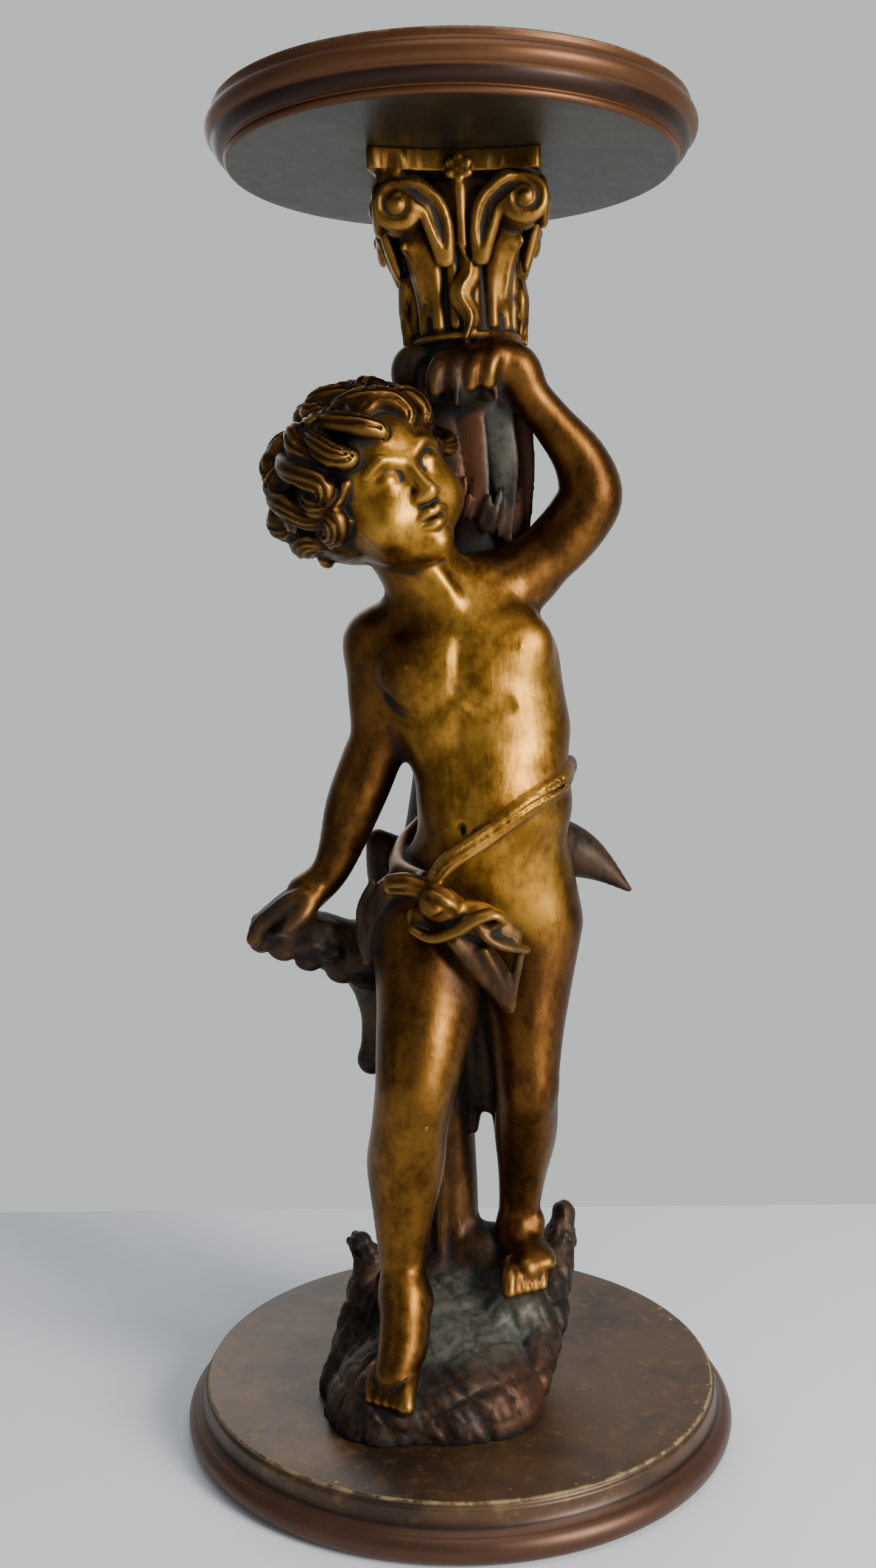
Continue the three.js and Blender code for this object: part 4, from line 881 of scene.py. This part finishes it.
def skin(clay):
    field = clay.field
    shape = np.array(field.shape)
    strides = np.array([shape[1] * shape[2], shape[2], 1])
    inside = field < 0
    cells_of_edges = []
    places = []
    flips = []
    for axis in range(3):
        fore = [slice(None)] * 3
        aft = [slice(None)] * 3
        fore[axis] = slice(None, -1)
        aft[axis] = slice(1, None)
        index = np.array(np.nonzero(inside[tuple(fore)] != inside[tuple(aft)])).T
        ahead = index.copy()
        ahead[:, axis] += 1
        a = field[tuple(index.T)]
        b = field[tuple(ahead.T)]
        place = index.astype(np.float64)
        place[:, axis] += a / (a - b)
        one, two = (axis + 1) % 3, (axis + 2) % 3
        flat = index @ strides
        corners = [flat, flat - strides[one], flat - strides[one] - strides[two], flat - strides[two]]
        cells_of_edges.append(np.stack(corners, 1))
        places.append(place)
        flips.append(a < 0)
    cells = np.concatenate(cells_of_edges)
    place = np.concatenate(places)
    outward = np.concatenate(flips)
    kept, quads = np.unique(cells.ravel(), return_inverse=True)
    quads = quads.reshape(-1, 4)
    count = np.bincount(quads.ravel(), minlength=len(kept))
    points = np.stack([
        np.bincount(quads.ravel(), np.repeat(place[:, k], 4), len(kept)) / count for k in range(3)
    ], 1)
    quads[~outward] = quads[~outward][:, ::-1]
    return (points + clay.first) * CELL, quads


def mesh_object(name, points, faces):
    """A Blender object from points in metres and faces that all have the same number of corners."""
    mesh = bpy.data.meshes.new(name)
    corners = faces.shape[1]
    mesh.vertices.add(len(points))
    mesh.vertices.foreach_set("co", points.astype(np.float32).ravel())
    mesh.loops.add(faces.size)
    mesh.loops.foreach_set("vertex_index", faces.astype(np.int32).ravel())
    mesh.polygons.add(len(faces))
    mesh.polygons.foreach_set("loop_start", np.arange(len(faces), dtype=np.int32) * corners)
    mesh.polygons.foreach_set("loop_total", np.full(len(faces), corners, np.int32))
    mesh.update(calc_edges=True)
    mesh.validate()
    mesh.shade_smooth()
    made = bpy.data.objects.new(name, mesh)
    bpy.context.scene.collection.objects.link(made)
    return made


def thinned(made, wanted):
    """The same object with fewer faces."""
    triangles = sum(len(face.vertices) - 2 for face in made.data.polygons)
    if triangles > wanted:
        modifier = made.modifiers.new("thin", "DECIMATE")
        modifier.ratio = wanted / triangles
        graph = bpy.context.evaluated_depsgraph_get()
        mesh = bpy.data.meshes.new_from_object(made.evaluated_get(graph))
        made.modifiers.remove(modifier)
        made.data = mesh
        mesh.shade_smooth()
    return made


def points_of(made):
    flat = np.zeros(len(made.data.vertices) * 3, np.float32)
    made.data.vertices.foreach_get("co", flat)
    return flat.reshape(-1, 3).astype(float)


def set_values(made, name, values):
    attribute = made.data.attributes.new(name, "FLOAT", "POINT")
    attribute.data.foreach_set("value", values.astype(np.float32))


def blurred(grid, reach, passes):
    """The grid with each value the mean of its neighbours within reach, along each axis in turn."""
    for _ in range(passes):
        for axis in range(3):
            moved = np.moveaxis(grid, axis, 0)
            padded = np.concatenate([moved[:1]] * (reach + 1) + [moved] + [moved[-1:]] * reach)
            total = np.cumsum(padded, axis=0, dtype=np.float32)
            width = 2 * reach + 1
            grid = np.moveaxis((total[width:] - total[:-width]) / width, 0, axis)
    return grid


def fullness(clay, step, reach, passes, points):
    """How much of the room round each point is wood: a half on flat ground, more in a hollow."""
    wood = np.clip(0.5 - clay.field[::step, ::step, ::step] / (CELL * step), 0, 1)
    return sampled(blurred(wood, reach, passes), clay.first * CELL, CELL * step, points)


def soft_step(values, start, end):
    t = np.clip((values - start) / (end - start), 0, 1)
    return t * t * (3 - 2 * t)


def near(points, centre, radius):
    """One at the centre, falling softly to nothing at the radius."""
    distance = np.linalg.norm((points - np.array(centre)) / np.array(radius), axis=1)
    return 1 - soft_step(distance, 0.55, 1.15)


# Soft spots of the finish and of painted light and shade: strength, middle and reach of each, in drawn units
GOLDEN_SPOTS = (
    (0.95, [22, -40, 440], [58, 70, 92]),
    (0.9, [32, -30, 350], [52, 70, 60]),
    (1.0, [-28, -74, 574], [44, 46, 52]),
    (0.9, [0, -40, 528], [30, 40, 36]),
    # painted highlight: gold down the front of the right shin
    (0.25, [-20, -66, 150], [40, 50, 140]),
    (0.4, [9, 0, 735], [90, 90, 66]),
)
DARK_SPOTS = (
    # painted shade on the cloth between the right thigh and the bough
    (0.95, [-52, -26, 308], [20, 26, 38]),
    (0.8, [-116, -12, 310], [34, 40, 30]),
    # painted shade under the hem of the cloth
    (0.6, [22, -70, 290], [40, 30, 40]),
    # painted shade under the left hand's fingers, where they lie on the collar
    (0.6, [-8, -40, 652], [22, 24, 20]),
)
BARE_SPOTS = (
    (1.0, [12, -14, 606], [10, 18, 46]),
    (0.7, [48, 4, 590], [8, 20, 50]),
    (0.7, [34, -70, 14], [34, 40, 26]),
)
# Spots where hollows are made lighter, on the face and chest: less of their dirt and painted shade
LIGHTER_HOLLOW_SPOTS = (
    (1.0, [-34, -82, 568], [36, 34, 44]),
    (1.0, [16, -60, 410], [70, 50, 84]),
)


def spots(points, rows):
    """The strongest of several soft spots at each point."""
    return np.maximum.reduce([strength * near(points, middle, reach) for strength, middle, reach in rows])


def make_carving():
    body = Clay(CLAY_LOW, CLAY_HIGH)
    add_torso(body)
    add_neck(body)
    add_right_leg(body)
    add_left_leg(body)
    add_right_arm(body)
    add_left_arm(body)
    add_head(body)
    add_cloth(body)
    hair = add_hair(body)
    tree = Clay(CLAY_LOW, CLAY_HIGH)
    add_mound(tree)
    add_tree(tree)
    add_collar(tree)
    add_capital(tree)
    tree.add(Slab(), 1)
    whole = Clay(CLAY_LOW, CLAY_HIGH)
    whole.field = least(tree.field, body.field, 2.0)
    heights = (np.arange(whole.first[2], whole.last[2] + 1) * CELL).astype(np.float32)
    flat_ends = np.maximum(-heights, heights - DRAWN_HEIGHT)
    whole.field = np.maximum(whole.field, flat_ends[None, None, :])
    points, quads = skin(whole)
    made = mesh_object("carving_skin", points, quads)
    thinned(made, CARVING_FACES)
    points = points_of(made)
    # painted shade along the foot of the carving, where it meets the base
    at_foot = 1 - soft_step(points[:, 2], 3, 12)
    # how enclosed each point is; the paint darkens with it, as dirt in hollows and as painted shade
    hollow = np.maximum(fullness(whole, 1, 2, 2, points), 0.6 * at_foot)
    lighter_hollows = spots(points, LIGHTER_HOLLOW_SPOTS)
    set_values(made, "hollow", hollow - 0.5 * lighter_hollows * np.maximum(hollow - 0.5, 0))
    # enclosure at a wider reach, for painted shade where parts crowd together
    set_values(made, "shelter", fullness(whole, 2, 3, 3, points))
    from_tree = soft_step(body.sample(points) - tree.sample(points), -1.0, 1.5)
    set_tones(made, points, from_tree, 1 - soft_step(hair.sample(points), 0.5, 2.5))
    made.data.transform(Matrix.Translation((0, 0, carving_low.z)) @ Matrix.Scale(UNIT, 4))
    return made


def set_tones(made, points, from_tree, hair):
    """Where the finish is gold, dark or dusty, and where bare reddish wood shows, from 0 to 1. Part of the
    gold is a painted highlight, and part of the dark is painted shade.
    """
    low_trunk = soft_step(points[:, 2], 200, 170) * soft_step(points[:, 2], 60, 90)
    low_trunk = low_trunk * near(points, [-8, 0, 130], [26, 60, 70])
    capital = soft_step(points[:, 2], 668, 676)
    dark = from_tree * (1 - 0.6 * low_trunk) * (1 - 0.85 * capital)
    # painted shade at a few spots on the figure: under the hem and the fingers, beside the right thigh
    dark = np.maximum(dark, spots(points, DARK_SPOTS))
    dust = from_tree * np.maximum(
        near(points, [4, -34, 46], [56, 56, 30]) * soft_step(points[:, 2], 84, 64),
        near(points, [29, -12, 618], [11, 20, 44]),
    )
    set_values(made, "golden", spots(points, GOLDEN_SPOTS))
    set_values(made, "dark", dark)
    set_values(made, "dust", dust)
    set_values(made, "bare", from_tree * spots(points, BARE_SPOTS))
    set_values(made, "hair", hair)


# Turned discs

def arc(middle, radius, start, end, steps):
    """Points of a round stretch of a profile, as radius and height."""
    turns = [math.radians(start + (end - start) * k / steps) for k in range(steps + 1)]
    return [(middle[0] + radius * math.cos(t), middle[1] + radius * math.sin(t)) for t in turns]


def cove(low, high, steps):
    """A hollow quarter round that sweeps from a low outer point to a high inner one."""
    turns = [math.radians(90 * k / steps) for k in range(steps + 1)]
    deep, tall = low[0] - high[0], high[1] - low[1]
    return [(low[0] - deep * math.sin(t), high[1] - tall * math.cos(t)) for t in turns]


def rings(profile, widest):
    """The profile with extra points on its long flat faces, so that each face stays small."""
    points = []
    for (r1, z1), (r2, z2) in zip(profile[:-1], profile[1:]):
        pieces = max(1, round(math.hypot(r2 - r1, z2 - z1) / widest))
        points += [(r1 + (r2 - r1) * k / pieces, z1 + (z2 - z1) * k / pieces) for k in range(pieces)]
    return points + [profile[-1]]


TURNED_SIDES = 180


def turned(name, profile, floor):
    """A turned solid from a profile in millimetres that starts and ends on the axis."""
    inner = np.array(rings(profile, 12.0)[1:-1]) / 1000
    turns = np.arange(TURNED_SIDES) * 2 * math.pi / TURNED_SIDES
    x = inner[:, :1] * np.cos(turns)
    y = inner[:, :1] * np.sin(turns)
    z = np.repeat(inner[:, 1:] + floor, TURNED_SIDES, 1)
    points = np.stack([x, y, z], 2).reshape(-1, 3)
    row = np.arange(len(inner) - 1)[:, None] * TURNED_SIDES
    here = np.arange(TURNED_SIDES)[None, :]
    ahead = (here + 1) % TURNED_SIDES
    quads = np.stack([row + here, row + ahead, row + TURNED_SIDES + ahead, row + TURNED_SIDES + here], 2)
    made = mesh_object(name, points, quads.reshape(-1, 4))
    return close_ends(made, profile, floor)


def close_ends(made, profile, floor):
    """A fan of triangles at each end of the turned skin."""
    count = len(made.data.vertices)
    points = points_of(made)
    quads = np.array([tuple(face.vertices) for face in made.data.polygons])
    here = np.arange(TURNED_SIDES)
    ahead = (here + 1) % TURNED_SIDES
    last = count - TURNED_SIDES
    ends = np.array([[0, 0, profile[0][1] / 1000 + floor], [0, 0, profile[-1][1] / 1000 + floor]])
    under = np.stack([ahead, here, np.full_like(here, count)], 1)
    over = np.stack([last + here, last + ahead, np.full_like(here, count + 1)], 1)
    split = np.concatenate([quads[:, [0, 1, 2]], quads[:, [0, 2, 3]]])
    name = made.name
    bpy.data.objects.remove(made)
    return mesh_object(name, np.concatenate([points, ends]), np.concatenate([split, under, over]))


EDGE_STEP = 3.5
EDGE_ROUNDING = 1.2
BASE_ROLL = 9
BASE_ROLL_REACH = 13
BASE_COVE_DROP = 12
TOP_ROLL = 6.5
TOP_ROLL_REACH = 4.5
TOP_BEAD = 2.5
TOP_UNDERSIDE_INSET = 11.5


def make_base():
    outer = base_high.x * 1000
    thickness = (base_high.z - base_low.z) * 1000
    face = outer - BASE_ROLL_REACH
    middle = outer - BASE_ROLL
    step = thickness - EDGE_STEP
    profile = [(0, 0), (middle, 0)]
    profile += arc((middle, BASE_ROLL), BASE_ROLL, -80, 75, 18)
    profile += cove((middle + 1, step - BASE_COVE_DROP + 2), (face + 1.5, step), 9)[1:]
    profile += [(face + 0.3, step)]
    profile += arc((face - EDGE_ROUNDING, thickness - EDGE_ROUNDING), EDGE_ROUNDING, 0, 90, 5)
    profile += [(0, thickness)]
    return turned("base_turned", profile, base_low.z)


def make_top():
    outer = top_high.x * 1000
    thickness = (top_high.z - top_low.z) * 1000
    face = outer - TOP_ROLL_REACH
    middle = outer - TOP_ROLL
    roll_height = thickness - EDGE_STEP - TOP_ROLL - TOP_BEAD
    underside = outer - TOP_UNDERSIDE_INSET
    profile = [(0, 0), (underside - TOP_BEAD, 0)]
    profile += arc((underside - TOP_BEAD, TOP_BEAD), TOP_BEAD, -80, 60, 8)
    profile += cove((underside - 0.5, 2 * TOP_BEAD), (middle + 2, roll_height - TOP_ROLL), 8)[1:]
    profile += arc((middle, roll_height), TOP_ROLL, -60, 75, 16)
    profile += [(face - 0.5, thickness - EDGE_STEP)]
    profile += arc((face - EDGE_ROUNDING, thickness - EDGE_ROUNDING), EDGE_ROUNDING, 0, 90, 5)
    profile += [(0, thickness)]
    return turned("top_turned", profile, top_low.z)


# Materials

def paint(text):
    """A linear colour from sRGB hex digits."""
    parts = [int(text[k:k + 2], 16) / 255 for k in (1, 3, 5)]
    linear = [part / 12.92 if part <= 0.04045 else ((part + 0.055) / 1.055) ** 2.4 for part in parts]
    return (*linear, 1.0)


def node(tree, kind, inputs=None, **settings):
    """A shader node with its settings, and its inputs set to values or linked to other outputs."""
    made = tree.nodes.new(kind)
    for name, value in settings.items():
        setattr(made, name, value)
    for key, value in (inputs or {}).items():
        if isinstance(value, bpy.types.NodeSocket):
            tree.links.new(value, made.inputs[key])
        else:
            made.inputs[key].default_value = value
    return made


def new_material(name):
    made = bpy.data.materials.new(name)
    made.use_nodes = True
    made.node_tree.nodes.clear()
    return made, made.node_tree


def attribute(tree, name):
    return node(tree, "ShaderNodeAttribute", attribute_name=name).outputs["Fac"]


def ranged(tree, value, start, end, low=0.0, high=1.0):
    made = node(tree, "ShaderNodeMapRange", {0: value, 1: start, 2: end, 3: low, 4: high})
    made.interpolation_type = "SMOOTHSTEP"
    return made.outputs[0]


def maths(tree, operation, a, b=0.0):
    return node(tree, "ShaderNodeMath", {0: a, 1: b}, operation=operation).outputs[0]


def times(tree, a, b):
    return maths(tree, "MULTIPLY", a, b)


def plus(tree, a, b):
    return maths(tree, "ADD", a, b)


def mixed(tree, share, one, other):
    made = node(tree, "ShaderNodeMix", data_type="RGBA")
    for key, value in (("Factor", share), ("A", one), ("B", other)):
        socket = [s for s in made.inputs if s.name == key and s.enabled][0]
        if isinstance(value, bpy.types.NodeSocket):
            tree.links.new(value, socket)
        else:
            socket.default_value = value
    return [s for s in made.outputs if s.enabled][0]


def noise(tree, size_mm, stretch=(1, 1, 1), detail=4.0, roughness=0.55):
    """Noise whose spots are about size_mm across, longer along an axis that is stretched."""
    place = node(tree, "ShaderNodeTexCoord").outputs["Object"]
    scale = tuple(1 / part for part in stretch)
    place = node(tree, "ShaderNodeMapping", {"Vector": place, "Scale": scale}).outputs[0]
    made = node(tree, "ShaderNodeTexNoise", {
        "Vector": place,
        "Scale": 1000 / size_mm,
        "Detail": detail,
        "Roughness": roughness,
    })
    return made.outputs["Fac"]


def finished(tree, colour, roughness, metallic, relief, strength, depth_mm):
    """The shader itself, with a fine relief that stands out as far as depth_mm."""
    bump = node(tree, "ShaderNodeBump", {
        "Height": relief,
        "Strength": strength,
        "Distance": depth_mm / 1000,
    })
    surface = node(tree, "ShaderNodeBsdfPrincipled", {
        "Base Color": colour,
        "Roughness": roughness,
        "Metallic": metallic,
        "Normal": bump.outputs[0],
    })
    node(tree, "ShaderNodeOutputMaterial", {"Surface": surface.outputs[0]})


def gilded_material():
    """Bronzed and gilded wood: gold where the brush reached, and as a painted highlight on the right shin;
    brown on the limbs; black in hollows, from dirt and painted shade; pale gold on raised edges, from wear
    and painted highlight.
    """
    made, tree = new_material("bronzed_gilded_wood")
    hollow = attribute(tree, "hollow")
    dark = attribute(tree, "dark")
    dust = attribute(tree, "dust")
    patches = noise(tree, 26, (1, 1, 1.6))
    flecks = noise(tree, 6, (1, 1, 1.5), 6.0, 0.65)
    streaks = noise(tree, 2.4, (1, 1, 8), 3.0)
    stirred = plus(tree, hollow, times(tree, flecks, 0.03))
    high = ranged(tree, stirred, 0.61, 0.525)
    # lower in sheltered places, which take a broad painted shade
    open_to_light = ranged(tree, attribute(tree, "shelter"), 0.68, 0.44, 0.25, 1.0)
    wear_and_light = times(tree, high, open_to_light)
    mottled = plus(tree, times(tree, patches, 0.6), times(tree, flecks, 0.4))
    brown = mixed(tree, ranged(tree, mottled, 0.36, 0.64), paint("#442a14"), paint("#6d4820"))
    gold = mixed(tree, ranged(tree, mottled, 0.38, 0.60), paint("#7a531c"), paint("#ae7e31"))
    tone = mixed(tree, attribute(tree, "golden"), brown, gold)
    tone = mixed(tree, times(tree, attribute(tree, "hair"), 0.85), tone, paint("#3d2612"))
    # bark tone for the tree, also laid as painted shade on the dark spots of the figure
    bark_and_shade = mixed(tree, ranged(tree, mottled, 0.42, 0.58), paint("#1d130c"), paint("#402c1c"))
    tone = mixed(tree, dark, tone, bark_and_shade)
    tone = mixed(tree, times(tree, attribute(tree, "bare"), 0.55), tone, paint("#5f351a"))
    # near black in hollows and sheltered places: dirt in the hollows, and painted shade in both
    tone = mixed(tree, ranged(tree, wear_and_light, 0.02, 0.8), paint("#100a06"), tone)
    not_dark = maths(tree, "SUBTRACT", 1.0, dark)
    # pale gold on convex edges: rubbed wear and a painted highlight
    rubbed_and_highlit = times(tree, ranged(tree, hollow, 0.46, 0.34), times(tree, not_dark, not_dark))
    tone = mixed(tree, times(tree, rubbed_and_highlit, 0.3), tone, paint("#d0a04e"))
    dusty = times(tree, dust, ranged(tree, flecks, 0.35, 0.6, 0.35, 0.8))
    tone = mixed(tree, dusty, tone, paint("#50534a"))
    roughness = plus(tree, ranged(tree, wear_and_light, 0.0, 0.9, 0.62, 0.32), times(tree, flecks, 0.14))
    duller = times(tree, maths(tree, "MAXIMUM", dust, dark), 0.14)
    roughness = plus(tree, roughness, duller)
    metallic = times(tree, ranged(tree, wear_and_light, 0.0, 0.7, 0.4, 1.0), ranged(tree, dark, 0, 1, 1, 0.6))
    metallic = times(tree, metallic, ranged(tree, dust, 0, 1, 1, 0.4))
    relief = plus(tree, streaks, times(tree, flecks, 1.2))
    finished(tree, tone, roughness, metallic, relief, 0.25, 0.35)
    return made


def disc_material(name, colours, floor, rim, groove, edge):
    """Turned wood under dark bronze paint: copper on the rolls, black painted shade in the groove, a pale
    worn edge.
    The rim starts at a radius; the groove lies between two heights; the edge is a radius and a height."""
    made, tree = new_material(name)
    place = node(tree, "ShaderNodeTexCoord").outputs["Object"]
    x, y, z = node(tree, "ShaderNodeSeparateXYZ", {0: place}).outputs
    radius = maths(tree, "SQRT", plus(tree, times(tree, x, x), times(tree, y, y)))
    height = maths(tree, "SUBTRACT", z, floor)
    patches = noise(tree, 70, detail=3.0, roughness=0.6)
    flecks = noise(tree, 11, detail=6.0, roughness=0.7)
    chips = noise(tree, 5.5, detail=1.0)
    tone = mixed(tree, ranged(tree, patches, 0.34, 0.62), paint(colours["dark"]), paint(colours["mid"]))
    tone = mixed(tree, ranged(tree, flecks, 0.5, 0.72, 0.0, 0.4), tone, paint(colours["light"]))
    on_rim = ranged(tree, radius, rim, rim + 0.003)
    tone = mixed(tree, times(tree, on_rim, 0.8), tone, paint(colours["rim"]))
    # black painted shade in the groove beside the roll
    groove_shade = times(tree, ranged(tree, height, groove[0] - 0.001, groove[0] + 0.001),
                      ranged(tree, height, groove[1] + 0.001, groove[1] - 0.001))
    groove_shade = times(tree, groove_shade, on_rim)
    tone = mixed(tree, times(tree, groove_shade, 0.85), tone, paint(colours["groove"]))
    from_edge = maths(tree, "ABSOLUTE", maths(tree, "SUBTRACT", radius, edge[0]))
    up = ranged(tree, height, edge[1] - 0.002, edge[1] - 0.001)
    worn = times(tree, ranged(tree, from_edge, 0.0016, 0.0004), ranged(tree, flecks, 0.42, 0.56, 0.1, 0.8))
    chipped = times(tree, ranged(tree, from_edge, 0.016, 0.006), ranged(tree, chips, 0.70, 0.74))
    worn = times(tree, up, maths(tree, "MAXIMUM", worn, chipped))
    tone = mixed(tree, worn, tone, paint(colours["worn"]))
    roughness = plus(tree, 0.30, times(tree, flecks, 0.22))
    roughness = plus(tree, roughness, times(tree, worn, 0.3))
    metallic = maths(tree, "SUBTRACT", ranged(tree, on_rim, 0.0, 1.0, 0.4, 0.65), times(tree, worn, 0.4))
    relief = plus(tree, flecks, times(tree, worn, -1.5))
    finished(tree, tone, roughness, metallic, relief, 0.1, 0.3)
    return made


def floor_material():
    """A plain pale matt surface with a fine grain."""
    made, tree = new_material("pale_cloth")
    finished(tree, paint("#e8edf2"), 0.85, 0.0, noise(tree, 3.0), 0.12, 0.4)
    return made


# Floor, light and camera

def add_stage():
    """A plain pale floor, wide to the sides and the front."""
    side, back = 3.0, 0.356
    corners = np.array([[-side, -side, 0], [side, -side, 0], [side, back, 0], [-side, back, 0]])
    floor = mesh_object("floor", corners, np.array([[0, 1, 2, 3]]))
    floor.data.materials.append(floor_material())


def add_world():
    """Soft light from all round, palest from behind the stand."""
    world = bpy.data.worlds.new("soft_room")
    world.use_nodes = True
    tree = world.node_tree
    tree.nodes.clear()
    direction = node(tree, "ShaderNodeTexCoord").outputs["Generated"]
    ahead = node(tree, "ShaderNodeSeparateXYZ", {0: direction}).outputs[1]
    tone = mixed(tree, ranged(tree, ahead, 0.35, 0.75), paint("#7e8184"), paint("#d3d7d6"))
    light = node(tree, "ShaderNodeBackground", {"Color": tone, "Strength": 1.0})
    node(tree, "ShaderNodeOutputWorld", {"Surface": light.outputs[0]})
    bpy.context.scene.world = world


def add_light(name, place, target, width, height, power, colour):
    light = bpy.data.lights.new(name, "AREA")
    light.shape = "RECTANGLE"
    light.size = width
    light.size_y = height
    light.energy = power
    light.color = colour
    made = bpy.data.objects.new(name, light)
    made.location = place
    made.rotation_euler = (Vector(target) - Vector(place)).to_track_quat("-Z", "Y").to_euler()
    bpy.context.scene.collection.objects.link(made)


def add_lights():
    middle = (0, 0, 0.45)
    add_light("window", (1.45, -1.35, 0.95), middle, 0.6, 1.2, 66, (1.0, 0.98, 0.95))
    add_light("fill", (-1.6, -1.2, 0.9), middle, 1.2, 1.6, 2, (0.92, 0.96, 1.0))
    add_light("overhead", (0.3, -0.5, 2.2), (0, 0, 0.6), 1.6, 1.2, 12, (1.0, 1.0, 1.0))
    add_light("rear", (-0.6, 1.8, 1.3), middle, 1.2, 1.2, 8, (0.95, 0.98, 1.0))


# The camera: place in metres, lens and sensor in millimetres
CAMERA_PLACE = (-0.01393, -0.99071, 0.53502)
CAMERA_PITCH = math.radians(-6.057)
CAMERA_ROLL = math.radians(-0.48)
CAMERA_YAW = math.radians(-0.145)
CAMERA_LENS = 34.86
PHOTO_SENSOR = 36.0


def add_camera():
    right = Vector((math.cos(CAMERA_YAW), math.sin(CAMERA_YAW), 0))
    level = Vector((-math.sin(CAMERA_YAW), math.cos(CAMERA_YAW), 0))
    ahead = level * math.cos(CAMERA_PITCH) + Vector((0, 0, math.sin(CAMERA_PITCH)))
    up = right.cross(ahead)
    across = right * math.cos(CAMERA_ROLL) + up * math.sin(CAMERA_ROLL)
    above = up * math.cos(CAMERA_ROLL) - right * math.sin(CAMERA_ROLL)
    camera = bpy.data.cameras.new("photo_camera")
    camera.lens = CAMERA_LENS
    camera.sensor_width = PHOTO_SENSOR
    made = bpy.data.objects.new("photo_camera", camera)
    turn = Matrix((across, above, -ahead)).transposed().to_4x4()
    made.matrix_world = Matrix.Translation(CAMERA_PLACE) @ turn
    bpy.context.scene.collection.objects.link(made)
    bpy.context.scene.camera = made


# Putting it together

def dress(made, cad_node, material):
    """Gives a finished piece its material and its place among the solids."""
    made.data.materials.clear()
    made.data.materials.append(material)
    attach(made, "root")
    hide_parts(cad_node)


dress(make_carving(), "carving", gilded_material())
dress(make_base(), "base", disc_material("bronzed_base_wood", {
    "dark": "#33241a",
    "mid": "#533b25",
    "light": "#866339",
    "rim": "#54382a",
    "groove": "#1d1917",
    "worn": "#8c7850",
}, base_low.z, rim=0.1715, groove=(0.020, 0.0295), edge=(0.1695, 0.034)))
dress(make_top(), "top", disc_material("bronzed_top_wood", {
    "dark": "#1f1d16",
    "mid": "#2f2b20",
    "light": "#41382a",
    "rim": "#643c1f",
    "groove": "#20130f",
    "worn": "#6b5a40",
}, top_low.z, rim=0.1385, groove=(0.0055, 0.0125), edge=(0.1485, 0.032)))
add_stage()
add_lights()
add_world()
add_camera()
